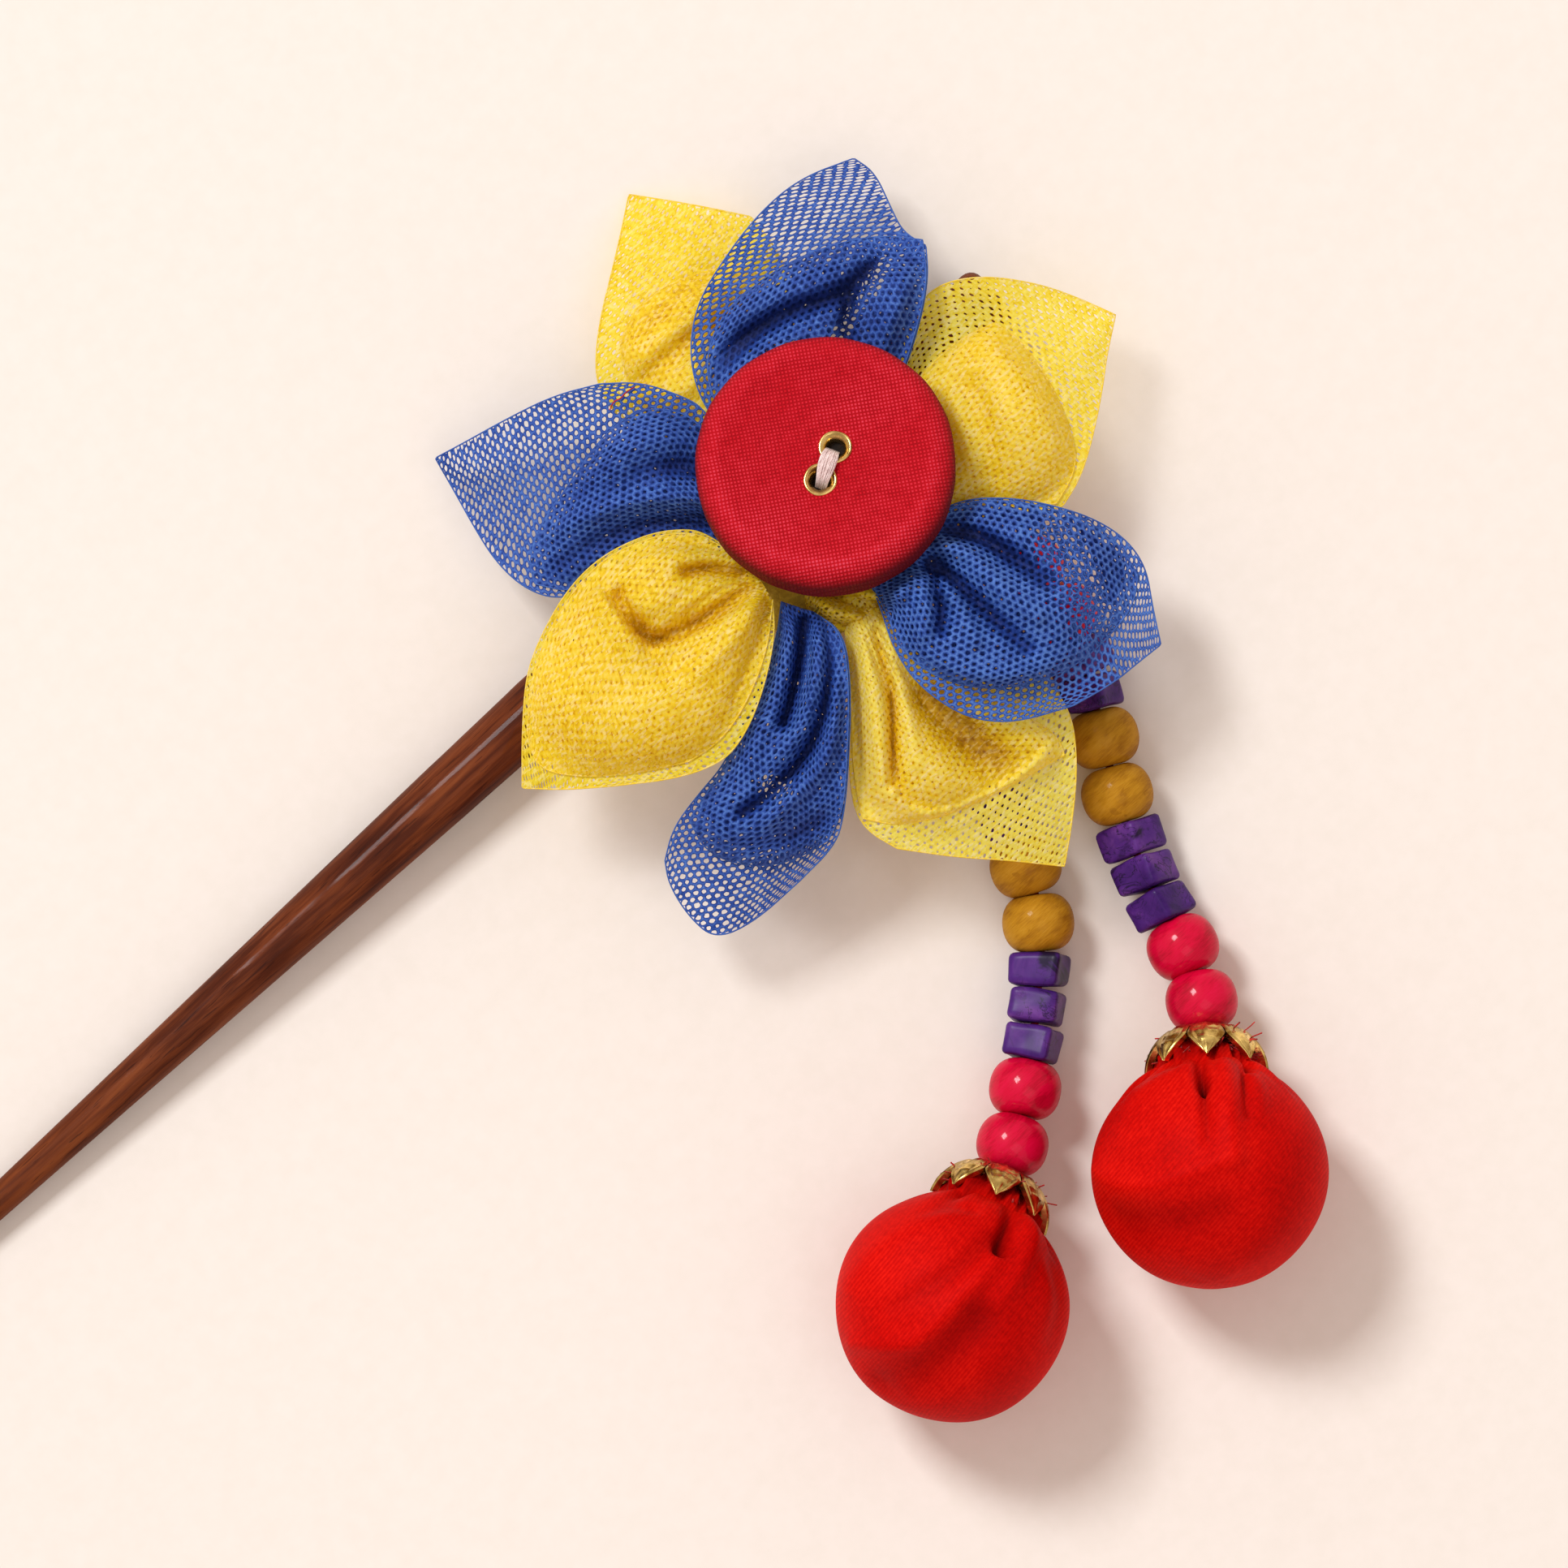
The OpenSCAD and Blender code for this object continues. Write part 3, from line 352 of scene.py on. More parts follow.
def joined(parts):
    """Several meshes as one."""
    starts = np.cumsum([0] + [len(vertices) for vertices, _ in parts])
    return (np.concatenate([vertices for vertices, _ in parts]),
            np.concatenate([faces + start for (_, faces), start in zip(parts, starts)]))


def unit(vectors):
    return vectors / np.maximum(np.linalg.norm(vectors, axis=-1, keepdims=True), 1e-9)


def grid_faces(rows, columns, around=False, turned=False):
    """Quads between a grid's points. around: its last column meets the first. turned: facing the other way."""
    first = np.arange(rows - 1)[:, None] * columns
    here = np.arange(columns if around else columns - 1)[None]
    there = (here + 1) % columns
    quads = np.stack([first + here, first + there, first + columns + there, first + columns + here], -1)
    return quads.reshape(-1, 4)[:, [0, 3, 2, 1] if turned else [0, 1, 2, 3]]


def lathe(profile, segments):
    """A surface turned round Z from radii and heights."""
    profile = np.asarray(profile, float)
    angles = np.arange(segments) * 2 * PI / segments
    points = np.stack([profile[:, 0] * np.cos(angles)[:, None], profile[:, 0] * np.sin(angles)[:, None],
                       np.broadcast_to(profile[:, 1], (segments, len(profile)))], -1).reshape(-1, 3)
    return points, grid_faces(segments + 1, len(profile), turned=True) % len(points)


def tube(path, radius, sides, lean=(0.13, 0.21, 0.97)):
    """A round thread along a path."""
    path = np.asarray(path, float)
    forward = unit(np.gradient(path, axis=0))
    side = unit(np.cross(forward, lean))
    up = np.cross(side, forward)
    angles = np.arange(sides)[None, :, None] * 2 * PI / sides
    rings = path[:, None] + radius * (np.cos(angles) * side[:, None] + np.sin(angles) * up[:, None])
    return rings.reshape(-1, 3), grid_faces(len(path), sides, around=True)


# Heights of a CAD solid over the plan, on a grid with this step, and how far past its outline they are kept
STEP = 0.5
MARGIN = 9.0


def filled(grid):
    """A grid with its unknown places filled in from their neighbours."""
    while np.isnan(grid).any():
        padded = np.pad(grid, 1, constant_values=np.nan)
        near = np.stack([padded[2:, 1:-1], padded[:-2, 1:-1], padded[1:-1, 2:], padded[1:-1, :-2]])
        known = ~np.isnan(near)
        mean = np.where(known, near, 0).sum(0) / np.maximum(known.sum(0), 1)
        grid = np.where(np.isnan(grid) & known.any(0), mean, grid)
    return grid


def softened(grid, times):
    for _ in range(times):
        p = np.pad(grid, 1, mode="edge")
        grid = (p[2:, 1:-1] + p[:-2, 1:-1] + p[1:-1, 2:] + p[1:-1, :-2] + 4 * p[1:-1, 1:-1]) / 8
    return grid


def solid_heights(node):
    """Underside and thickness of a CAD solid over its plan, carried on past its outline."""
    mesh = nodes[node].data
    tree = BVHTree.FromPolygons([tuple(v.co) for v in mesh.vertices],
                                [tuple(f.vertices) for f in mesh.polygons])
    low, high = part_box(node)
    x, y = (np.arange(low[k] / MM - MARGIN, high[k] / MM + MARGIN, STEP) for k in (0, 1))
    under = np.full((len(x), len(y)), np.nan)
    thick = under.copy()
    for i, px in enumerate(x):
        for j, py in enumerate(y):
            if not (low[0] < px * MM < high[0] and low[1] < py * MM < high[1]):
                continue
            down = tree.ray_cast(Vector((px * MM, py * MM, 0.1)), Vector((0, 0, -1)))[0]
            if down is None:
                continue
            up = tree.ray_cast(Vector((px * MM, py * MM, -0.1)), Vector((0, 0, 1)))[0]
            under[i, j] = up[2] / MM
            thick[i, j] = (down[2] - up[2]) / MM
    return {"x": x[0], "y": y[0], "under": softened(filled(under), 10), "thick": softened(filled(thick), 18)}


def between(grid, row, column):
    """A grid read between its rows and columns, with its slopes along both."""
    i = np.minimum(row.astype(int), grid.shape[0] - 2)
    j = np.minimum(column.astype(int), grid.shape[1] - 2)
    a, b = row - i, column - j
    if grid.ndim == 3:
        a, b = a[:, None], b[:, None]
    g00, g10, g01, g11 = grid[i, j], grid[i + 1, j], grid[i, j + 1], grid[i + 1, j + 1]
    value = (1 - a) * (1 - b) * g00 + a * (1 - b) * g10 + (1 - a) * b * g01 + a * b * g11
    return value, (1 - b) * (g10 - g00) + b * (g11 - g01), (1 - a) * (g01 - g00) + a * (g11 - g10)


def at(heights, key, xy):
    """Heights read at plan places."""
    grid = heights[key]
    row, column = (np.clip((xy[..., k] - heights["xy"[k]]) / STEP, 0, grid.shape[k] - 1.001) for k in (0, 1))
    return between(grid, row, column)[0]


def read(grid, t, s):
    """A grid over a layer of net and its slopes. t is 0 at the root and 1 at the tip, s is -1 to 1 across."""
    rows, columns = grid.shape[0] - 1, grid.shape[1] - 1
    value, along, across = between(grid, np.clip(t, 0, 1) * rows, (np.clip(s, -1, 1) + 1) / 2 * columns)
    return value, along * rows, across * columns / 2


def curve(points, count, rounds=3):
    """A line through given points, its corners rounded, as points at equal steps."""
    line = np.asarray(points, float)
    for _ in range(rounds if len(line) > 2 else 0):
        cut = np.empty((2 * len(line), line.shape[1]))
        cut[0], cut[-1] = line[0], line[-1]
        cut[1:-1:2] = 0.75 * line[:-1] + 0.25 * line[1:]
        cut[2:-1:2] = 0.25 * line[:-1] + 0.75 * line[1:]
        line = cut
    run = np.r_[0, np.cumsum(np.linalg.norm(np.diff(line, axis=0), axis=1))]
    at_steps = np.linspace(0, run[-1], count)
    return np.stack([np.interp(at_steps, run, line[:, k]) for k in range(line.shape[1])], -1)


ROWS, COLUMNS = 150, 110


def patch(made, side):
    """A layer of a petal in the picture, on a grid from its root to its tip and from right to left, between
    four lines, each of which starts and ends where its neighbours do."""
    left, right, tip = made[side]
    root = made["root"]
    a, b = curve([root[0], *right], ROWS), curve([root[1], *left], ROWS)
    c, d = curve(root, COLUMNS), curve([right[-1], *tip, left[-1]], COLUMNS)
    t = np.linspace(0, 1, ROWS)[:, None, None]
    v = np.linspace(0, 1, COLUMNS)[None, :, None]
    sides = (1 - v) * a[:, None] + v * b[:, None]
    ends = (1 - t) * c[None] + t * d[None]
    corners = (1 - t) * ((1 - v) * a[0] + v * b[0]) + t * ((1 - v) * a[-1] + v * b[-1])
    return sides + ends - corners


def relief(pixels, folds, steps=()):
    """Sum of folds at places in the picture. A fold is a line, its half width in pixels, and its height
    in millimetres at its start and its end. A step rises to the right of its line and falls to the left."""
    total = np.zeros(pixels.shape[:-1])
    for n, (line, width, start, end) in enumerate([*folds, *steps]):
        line = curve(line, 24, 2)
        best = np.full(total.shape, 1e9)
        share = np.zeros(total.shape)
        side = np.ones(total.shape)
        for k in range(len(line) - 1):
            a, step = line[k], line[k + 1] - line[k]
            off = pixels - a
            u = np.clip((off @ step) / (step @ step), 0, 1)
            d = np.linalg.norm(off - u[..., None] * step, axis=-1)
            nearer = d < best
            best = np.where(nearer, d, best)
            share = np.where(nearer, (k + u) / (len(line) - 1), share)
            side = np.where(nearer, np.sign(step[0] * off[..., 1] - step[1] * off[..., 0]), side)
        high = start + (end - start) * share
        if n < len(folds):
            total += high * np.exp(-((best / width) ** 2))
        else:
            ends = smooth(0, 0.12, share) * (1 - smooth(0.88, 1, share))
            total += high * ends * np.tanh(side * best / 3.5) * np.exp(-best / width)
    return total


# How much wider the cloth is than the gathered place that it goes through
GATHER = 1.7


def cloth_coordinates(surface):
    """Distances on the flat cloth: along it from the root, and across it from its middle."""
    rows, columns = surface.shape[:2]
    along, across = (np.cumsum(np.linalg.norm(np.diff(surface, axis=k), axis=2), k) for k in (0, 1))
    along = np.concatenate([np.zeros((1, columns)), along])
    across = np.concatenate([np.zeros((rows, 1)), across], 1)
    middle = columns // 2
    across -= across[:, middle:middle + 1]
    width = across[:, -1] - across[:, 0]
    ahead = np.maximum.accumulate(width[::-1])[::-1]
    return along, across * np.minimum(ahead / width, GATHER)[:, None]


def net_layer(surface, painted_shade, pitch, turn, hole, thread, light, fine, seed, thin=None, inner=False):
    """Net over a surface: hexagon cells with a hole each, as one mesh of threads with a raised middle.
    Where it is thin the holes are wider, and an inner layer leaves off."""
    calm = surface.copy()
    calm[..., 2] = softened(calm[..., 2], 140)
    u_grid, v_grid = cloth_coordinates(calm)
    normal = unit(np.cross(np.gradient(surface, axis=1), np.gradient(surface, axis=0)))
    normal[normal[..., 2] < 0] *= -1
    draw = np.random.default_rng(seed)
    reach = max(u_grid.max(), np.abs(v_grid).max()) * 1.5
    n = int(reach / pitch) + 2
    i, j = np.meshgrid(np.arange(-n, n), np.arange(-n, n), indexing="ij")
    cx = (i + 0.5 * j).ravel() * pitch
    cy = (j * math.sqrt(3) / 2).ravel() * pitch
    keep = np.hypot(cx, cy) < reach
    cx, cy = cx[keep], cy[keep]
    c, s = math.cos(turn), math.sin(turn)
    centres = np.stack([c * cx - s * cy + u_grid.max() / 2, s * cx + c * cy], -1)

    def inverse(points):
        """Where on the surface places of the flat cloth lie, and by how much they miss it."""
        t = np.clip(points[:, 0] / u_grid[-1].mean(), 0.02, 0.98)
        q = np.clip(points[:, 1] / np.abs(v_grid).max(), -0.95, 0.95)
        for _ in range(22):
            u, ut, us = read(u_grid, t, q)
            v, vt, vs = read(v_grid, t, q)
            eu, ev = points[:, 0] - u, points[:, 1] - v
            det = ut * vs - us * vt
            det = np.where(np.abs(det) < 1e-6, 1e-6, det)
            t = np.clip(t + np.clip((vs * eu - us * ev) / det, -0.15, 0.15), 0, 1)
            q = np.clip(q + np.clip((ut * ev - vt * eu) / det, -0.3, 0.3), -1, 1)
        return t, q, np.hypot(eu, ev)

    t, q, miss = inverse(centres)
    near = miss < pitch * 0.35
    wide = np.zeros(len(centres)) if thin is None else read(thin, t, q)[0]
    if inner:
        near &= wide < 0.35
    centres, wide = centres[near], wide[near]
    angles = np.arange(12) * PI / 6 + PI / 6 + turn
    radii = np.where(np.arange(12) % 2 == 0, pitch / math.sqrt(3), pitch / 2)
    ring = np.stack([np.cos(angles) * radii, np.sin(angles) * radii], -1)
    uneven = (0.3 if fine else 0.13) * draw.standard_normal(len(centres)).clip(-2, 2)
    hole_size = pitch * hole / 2 * (1 + uneven)
    hole_size = np.minimum(hole_size * (1 + 0.7 * wide), pitch * 0.40)
    round_hole = np.stack([np.cos(angles), np.sin(angles)], -1)
    flat = (centres[:, None] + ring[None]).reshape(-1, 2)
    _, first, back = np.unique(np.round(flat / (pitch * 0.05)).astype(int), axis=0, return_index=True,
                               return_inverse=True)
    ridge = flat[first] + draw.normal(0, pitch * 0.035, (len(first), 2))
    wobble = 1 + 0.10 * draw.standard_normal((len(centres), 12)).clip(-2, 2)
    rims = centres[:, None] + round_hole[None] * (hole_size[:, None] * wobble)[..., None]
    points = np.concatenate([ridge, rims.reshape(-1, 2)])
    on_ridge = np.arange(len(points)) < len(ridge)
    t, q, _ = inverse(points)
    raised = np.where(on_ridge, thread, -thread * 0.3)
    raised[:len(ridge)] *= 1 + 0.35 * draw.standard_normal(len(ridge)).clip(-2, 2)
    vertices = read(surface, t, q)[0] + read(normal, t, q)[0] * raised[:, None]
    outer = back.reshape(-1, 12)
    base = len(ridge) + np.arange(len(centres))[:, None] * 12 + np.arange(12)[None]
    faces = np.stack([outer, np.roll(outer, -1, 1), np.roll(base, -1, 1), base], -1).reshape(-1, 4)
    # Painted light and shade: thread tops lighter than the rims of the holes, the whole scaled by the petal's
    # painted light and darkened by the painted shade of folds and root.
    tone = np.where(on_ridge, 0.80, 0.60 if fine else 0.45)
    tone += (0.10 if fine else 0.07) * draw.standard_normal(len(points))
    return vertices, faces, tone * light * (1 - (0.76 if fine else 0.66) * read(painted_shade, t, q)[0])


def hem(surface):
    """A thin rolled edge round a net's outline, open at the root."""
    line = np.concatenate([surface[:, 0], surface[-1, 1:], surface[::-1, -1][1:]])
    radius, tone = 0.085, 0.78
    vertices, faces = tube(curve(line, 260, 0), radius, 5, (0, 0, 1.0))
    return vertices, faces, np.full(len(vertices), tone)


# Petals, in pixels of the picture. root: its right and its left end. back, the layer that lies below, and
# front, the one that is rolled over it: the left line from the root on, the right one, and the tip between
# their ends. folds and steps: line, half width, and height in millimetres at its start and its end. thin: line
# and half width. turns: how the net lies in both layers. light: a factor on the net's tone, painted light and
# shade for how the lamps fall on the petal.
PETALS = {
    "petal_1_yellow": {
        "root": [(985, 600), (945, 612)],
        "back": ([(880, 590), (800, 545), (752, 505), (735, 470), (735, 430), (742, 385), (752, 345),
                  (765, 290), (775, 240)],
                 [(992, 520), (990, 430), (975, 350), (955, 305), (925, 268)],
                 [(850, 252)]),
        "front": ([(890, 590), (830, 550), (790, 505), (768, 460), (765, 420)],
                  [(985, 520), (975, 430), (950, 360), (915, 325)],
                  [(850, 340), (790, 370)]),
        "folds": [([(880, 322), (848, 350), (808, 392), (786, 410)], 13, -1.3, -0.6),
                  ([(905, 395), (862, 410), (830, 432), (788, 474)], 13, -1.6, -0.8),
                  ([(925, 440), (870, 462), (820, 498)], 13, 1.3, 0.8),
                  ([(940, 350), (880, 375), (800, 440)], 18, 1.2, 0.5),
                  ([(930, 560), (870, 540), (800, 520)], 14, -1.2, -0.4)],
        "turns": (0.5, 0.1),
        "light": 0.91,
    },
    "petal_2_blue": {
        "root": [(1030, 595), (990, 592)],
        "back": ([(930, 560), (880, 520), (858, 480), (850, 430), (860, 375), (893, 320), (935, 265),
                  (985, 222), (1052, 197)],
                 [(1070, 540), (1110, 470), (1133, 400), (1143, 345), (1140, 305)],
                 [(1112, 288), (1098, 260), (1078, 215)]),
        "front": ([(940, 560), (895, 520), (873, 480), (872, 430), (895, 385)],
                  [(1070, 540), (1108, 470), (1131, 400), (1142, 345), (1136, 298)],
                  [(1080, 291), (1000, 311), (940, 345)]),
        "folds": [([(880, 404), (928, 354), (991, 324), (1080, 306), (1122, 308)], 15, 1.2, 1.2),
                  ([(884, 456), (930, 408), (975, 384), (1036, 366), (1078, 328)], 12, -2.6, -2.2),
                  ([(900, 484), (950, 434), (1005, 412), (1026, 450), (1020, 530)], 14, 1.5, 1.0),
                  ([(1046, 370), (1040, 440), (1052, 520)], 10, -2.2, -1.2),
                  ([(1075, 520), (1092, 430), (1122, 335)], 18, 1.6, 1.0)],
        "thin": [([(1088, 326), (1062, 370), (1034, 412)], 12),
                 ([(925, 470), (950, 448), (972, 436)], 13)],
        "turns": (0.2, -0.25),
    },
    "petal_3_yellow": {
        "root": [(1076, 641), (1050, 610)],
        "back": ([(1085, 500), (1110, 420), (1135, 370), (1165, 349), (1215, 342), (1280, 352), (1330, 370),
                  (1373, 390)],
                 [(1150, 650), (1220, 645), (1290, 630), (1308, 625)],
                 [(1330, 590), (1345, 540), (1357, 480), (1362, 440)]),
        "front": ([(1095, 520), (1135, 462), (1180, 420), (1225, 400)],
                  [(1150, 640), (1230, 632), (1300, 622)],
                  [(1320, 590), (1325, 560), (1310, 510), (1285, 460), (1255, 420)]),
        "folds": [([(1130, 470), (1165, 482), (1185, 520), (1192, 570)], 13, 0.9, 0.6),
                  ([(1150, 495), (1162, 545), (1168, 600)], 12, -0.6, -0.5),
                  ([(1200, 480), (1222, 540), (1222, 610)], 16, -0.5, -0.6),
                  ([(1225, 430), (1280, 480), (1300, 550)], 16, 0.8, 0.5)],
        "turns": (0.9, 0.35),
    },
    "petal_4_blue": {
        "root": [(1068, 712), (1086, 676)],
        "back": ([(1140, 640), (1185, 617), (1240, 615), (1290, 623), (1345, 640), (1385, 665), (1410, 700),
                  (1418, 750), (1428, 795)],
                 [(1083, 745), (1100, 800), (1130, 845), (1180, 880), (1220, 890), (1260, 888), (1320, 870)],
                 [(1370, 842), (1400, 817)]),
        "front": ([(1140, 642), (1185, 620), (1240, 618), (1290, 627), (1342, 645), (1378, 672), (1400, 710)],
                  [(1087, 745), (1106, 795), (1140, 830), (1200, 850), (1260, 845)],
                  [(1320, 825), (1370, 780), (1395, 745)]),
        "folds": [([(1165, 655), (1205, 662), (1250, 690), (1290, 720)], 11, -3.2, -1.2),
                  ([(1160, 672), (1200, 690), (1240, 735), (1275, 760)], 13, 2.3, 1.0),
                  ([(1150, 695), (1190, 730), (1225, 765), (1265, 800)], 10, -3.0, -1.3),
                  ([(1150, 712), (1178, 745), (1200, 790)], 11, 1.9, 0.8),
                  ([(1146, 700), (1160, 740), (1158, 778)], 8, -3.2, -1.6),
                  ([(1105, 735), (1130, 710), (1140, 745), (1135, 780)], 13, 2.1, 1.1),
                  ([(1120, 800), (1180, 838), (1260, 845), (1330, 815), (1385, 745)], 15, 1.0, 0.9)],
        "thin": [([(1296, 664), (1318, 700), (1345, 765)], 25)],
        "turns": (0.3, -0.15),
        "light": 1.14,
    },
    "petal_5_yellow": {
        "root": [(1034, 740), (1066, 722)],
        "back": ([(1120, 780), (1200, 810), (1280, 830), (1318, 875), (1326, 940), (1320, 1010),
                  (1310, 1067)],
                 [(1045, 800), (1045, 900), (1048, 985), (1065, 1022), (1105, 1045)],
                 [(1180, 1056), (1240, 1059)]),
        "front": ([(1120, 790), (1190, 850), (1260, 880), (1300, 905), (1310, 930)],
                  [(1047, 800), (1049, 900), (1052, 960), (1062, 1008)],
                  [(1110, 1018), (1180, 1000), (1250, 965)]),
        "folds": [([(1062, 775), (1070, 880), (1075, 980)], 15, 1.5, 1.0),
                  ([(1080, 780), (1096, 850), (1098, 965)], 7, -1.8, -1.6),
                  ([(1088, 780), (1112, 850), (1128, 940)], 11, 2.0, 0.6),
                  ([(1150, 860), (1190, 910), (1230, 935)], 34, -2.4, -1.8),
                  ([(1090, 1012), (1160, 1020), (1230, 990), (1290, 945)], 12, 0.9, 0.9)],
        "steps": [([(1094, 800), (1096, 880), (1098, 960), (1112, 993), (1160, 1002), (1220, 977),
                    (1265, 946), (1304, 900)], 18, 1.0, 1.4)],
        "turns": (0.6, 0.9),
        "light": 1.24,
    },
    "petal_6_blue": {
        "root": [(963, 742), (1001, 755)],
        "back": ([(1040, 780), (1048, 850), (1045, 940), (1040, 1000), (1030, 1040), (985, 1085)],
                 [(957, 790), (930, 860), (895, 940), (860, 980), (830, 1020), (820, 1060)],
                 [(825, 1090), (850, 1130), (882, 1157), (930, 1135)]),
        "front": ([(1038, 780), (1046, 850), (1043, 940), (1038, 1000), (1020, 1035)],
                  [(959, 790), (934, 860), (900, 938), (866, 985), (850, 1010)],
                  [(870, 1050), (920, 1068), (975, 1062)]),
        "folds": [([(974, 760), (968, 820), (948, 885), (915, 950)], 12, 1.6, 0.6),
                  ([(991, 765), (986, 815), (976, 860), (966, 890)], 8, -2.8, -2.2),
                  ([(1010, 775), (1006, 830), (992, 890), (962, 930)], 11, 1.8, 1.0),
                  ([(1026, 785), (1022, 840), (1012, 893), (985, 945), (935, 988),
                    (915, 1001)], 8, -2.6, -1.8),
                  ([(1040, 795), (1038, 860), (1028, 920), (1000, 960), (950, 1008)], 12, 1.6, 1.1),
                  ([(1020, 1010), (960, 1040), (900, 1045)], 12, -1.0, -0.4)],
        "thin": [([(946, 966), (962, 976)], 13)],
        "turns": (0.0, 0.35),
    },
    "petal_7_yellow": {
        "root": [(930, 705), (952, 740)],
        "back": ([(955, 790), (935, 870), (908, 922), (880, 944), (830, 960), (760, 968)],
                 [(870, 656), (830, 654), (790, 663), (740, 688), (700, 728), (670, 780), (650, 830),
                  (645, 900), (645, 971)],
                 [(700, 973)]),
        "front": ([(946, 800), (922, 864), (890, 912), (850, 938)],
                  [(870, 660), (830, 658), (790, 668), (742, 692), (705, 732), (674, 785), (655, 840),
                   (651, 900)],
                  [(662, 948), (720, 958), (790, 952)]),
        "folds": [([(912, 706), (875, 700), (846, 706)], 9, -2.6, -1.8),
                  ([(905, 718), (860, 735), (815, 752), (780, 745)], 17, 0.5, 1.2),
                  ([(925, 722), (868, 762), (812, 788)], 8, -1.0, -1.2),
                  ([(765, 735), (790, 775), (802, 796)], 11, -1.4, -1.6),
                  ([(742, 752), (775, 800), (830, 880)], 17, 0.8, 0.5),
                  ([(938, 742), (905, 790), (860, 830)], 12, 1.0, 0.5),
                  ([(945, 748), (932, 800), (905, 860)], 6, -1.2, -0.6),
                  ([(880, 672), (800, 684), (745, 720), (705, 790)], 15, 1.0, 0.6)],
        "steps": [([(735, 715), (750, 740), (801, 806), (870, 778), (936, 730)], 15, 1.6, 1.0)],
        "turns": (0.8, 0.4),
        "light": 0.93,
    },
    "petal_8_blue": {
        "root": [(929, 634), (920, 674)],
        "back": ([(840, 700), (760, 730), (695, 737), (670, 735), (640, 720), (610, 690), (585, 650),
                  (560, 605), (537, 565)],
                 [(900, 560), (868, 505), (840, 490), (790, 473), (740, 475)],
                 [(680, 490), (620, 520), (575, 545)]),
        "front": ([(840, 695), (765, 720), (700, 730), (660, 720)],
                  [(895, 570), (860, 520), (825, 505), (785, 508)],
                  [(742, 540), (708, 590), (668, 645), (652, 690)]),
        "folds": [([(885, 585), (835, 574), (790, 585)], 13, -2.4, -0.8),
                  ([(870, 615), (770, 618), (650, 665)], 13, 1.8, 1.0),
                  ([(880, 645), (800, 648), (730, 672), (680, 705)], 13, -1.8, -0.6),
                  ([(870, 545), (810, 540), (760, 560)], 14, 1.0, 0.5)],
        "turns": (0.1, -0.3),
    },
}
PITCH = 0.82
END_ROLL, SIDE_ROLL = 0.22, 0.35


def rolled(x, roll):
    """How high a rolled edge stands, from 1 where its roll begins down to 0 at its end, where x is 1."""
    return np.sqrt(np.maximum(0, 1 - np.maximum(0, (x - (1 - roll)) / roll) ** 2))


def layer_surface(made, side, heights, share=1.0):
    """One layer of a petal in model millimetres, over the solid that it stands for, its painted shade in
    folds and at the gathered root, and how thin it is."""
    pixels = patch(made, side)
    xy = plan(pixels)
    t = np.linspace(0, 1, ROWS)[:, None]
    s = np.linspace(-1, 1, COLUMNS)[None]
    z = at(heights, "under", xy) + 0.25
    folded = relief(pixels, made["folds"], made.get("steps", ()))
    thin = np.clip(relief(pixels, [(line, width, 1.2, 1.2) for line, width in made.get("thin", ())]), 0, 1)
    if side == "back":
        inside = smooth(0, 0.2, t) * (1 - smooth(0.9, 1, t)) * (1 - s ** 4)
        z = z + 0.3 * np.maximum(folded, -0.3) * inside
        # Painted shade: the back layer's net darker in the valleys of its folds.
        painted_shade = np.clip(-folded / 6, 0, 0.3) * (1 - s ** 4)
    else:
        room = np.maximum(at(heights, "thick", xy) - 0.7, 0.5)
        ends, sides = rolled(t, END_ROLL), rolled(abs(s), SIDE_ROLL)
        profile = 0.15 + 0.85 * ends * sides
        wave = folded * smooth(0, 0.08, t) * np.minimum(1, room / 2.2) * ends * sides
        gathers = 0.22 * np.cos(2 * PI * (s * 3.5 + 0.6 * np.sin(5 * s)))
        gathers = gathers * smooth(0.02, 0.12, t) * (1 - smooth(0.25, 0.6, t))
        z = z + share * np.maximum(0.3, room * profile + wave + gathers * sides)
        # Painted shade: the net darker in fold valleys and near the gathered root.
        painted_shade = np.clip(np.clip(-wave / 2.2, 0, 0.9) + 0.35 * (1 - smooth(0, 0.18, t)), 0, 1)
    return np.concatenate([xy, z[..., None]], -1), painted_shade, thin


def petal(name):
    """A petal: a layer of net, one that is rolled over it, one between them, and hems round the first two."""
    made = PETALS[name]
    yellow = name.endswith("yellow")
    heights = solid_heights(name)
    # Each layer comes with its painted shade in folds and at the root.
    back, plain, _ = layer_surface(made, "back", heights)
    front, painted_shade, thin = layer_surface(made, "front", heights)
    middle, deep, _ = layer_surface(made, "front", heights, 0.55)
    inner = (slice(int(ROWS * 0.93)), slice(5, -5))
    seed = int(name[6]) * 10
    turns = made["turns"]
    # light: the petal's painted light and shade. inner_shade_tone: the inner layer's net painted darker, as
    # shade under the front layer.
    light = made.get("light", 1.0)
    holes, inner_shade_tone = ((0.31, 0.26), 0.66) if yellow else ((0.60, 0.48), 0.70)
    layers = [net_layer(back, plain, PITCH, turns[0], holes[0], 0.055, light, yellow, seed),
              net_layer(front, painted_shade, PITCH, turns[1], holes[1], 0.07, light, yellow, seed + 1, thin),
              net_layer(middle[inner], deep[inner], PITCH * 1.35, turns[0] + 0.4, 0.28, 0.05, inner_shade_tone,
                        yellow, seed + 2, thin[inner], True),
              hem(back), hem(front)]
    vertices, faces = joined([layer[:2] for layer in layers])
    piece = new_piece("net_" + name, vertices, faces, "net_yellow" if yellow else "net_blue", name,
                      tone=np.concatenate([layer[2] for layer in layers]))


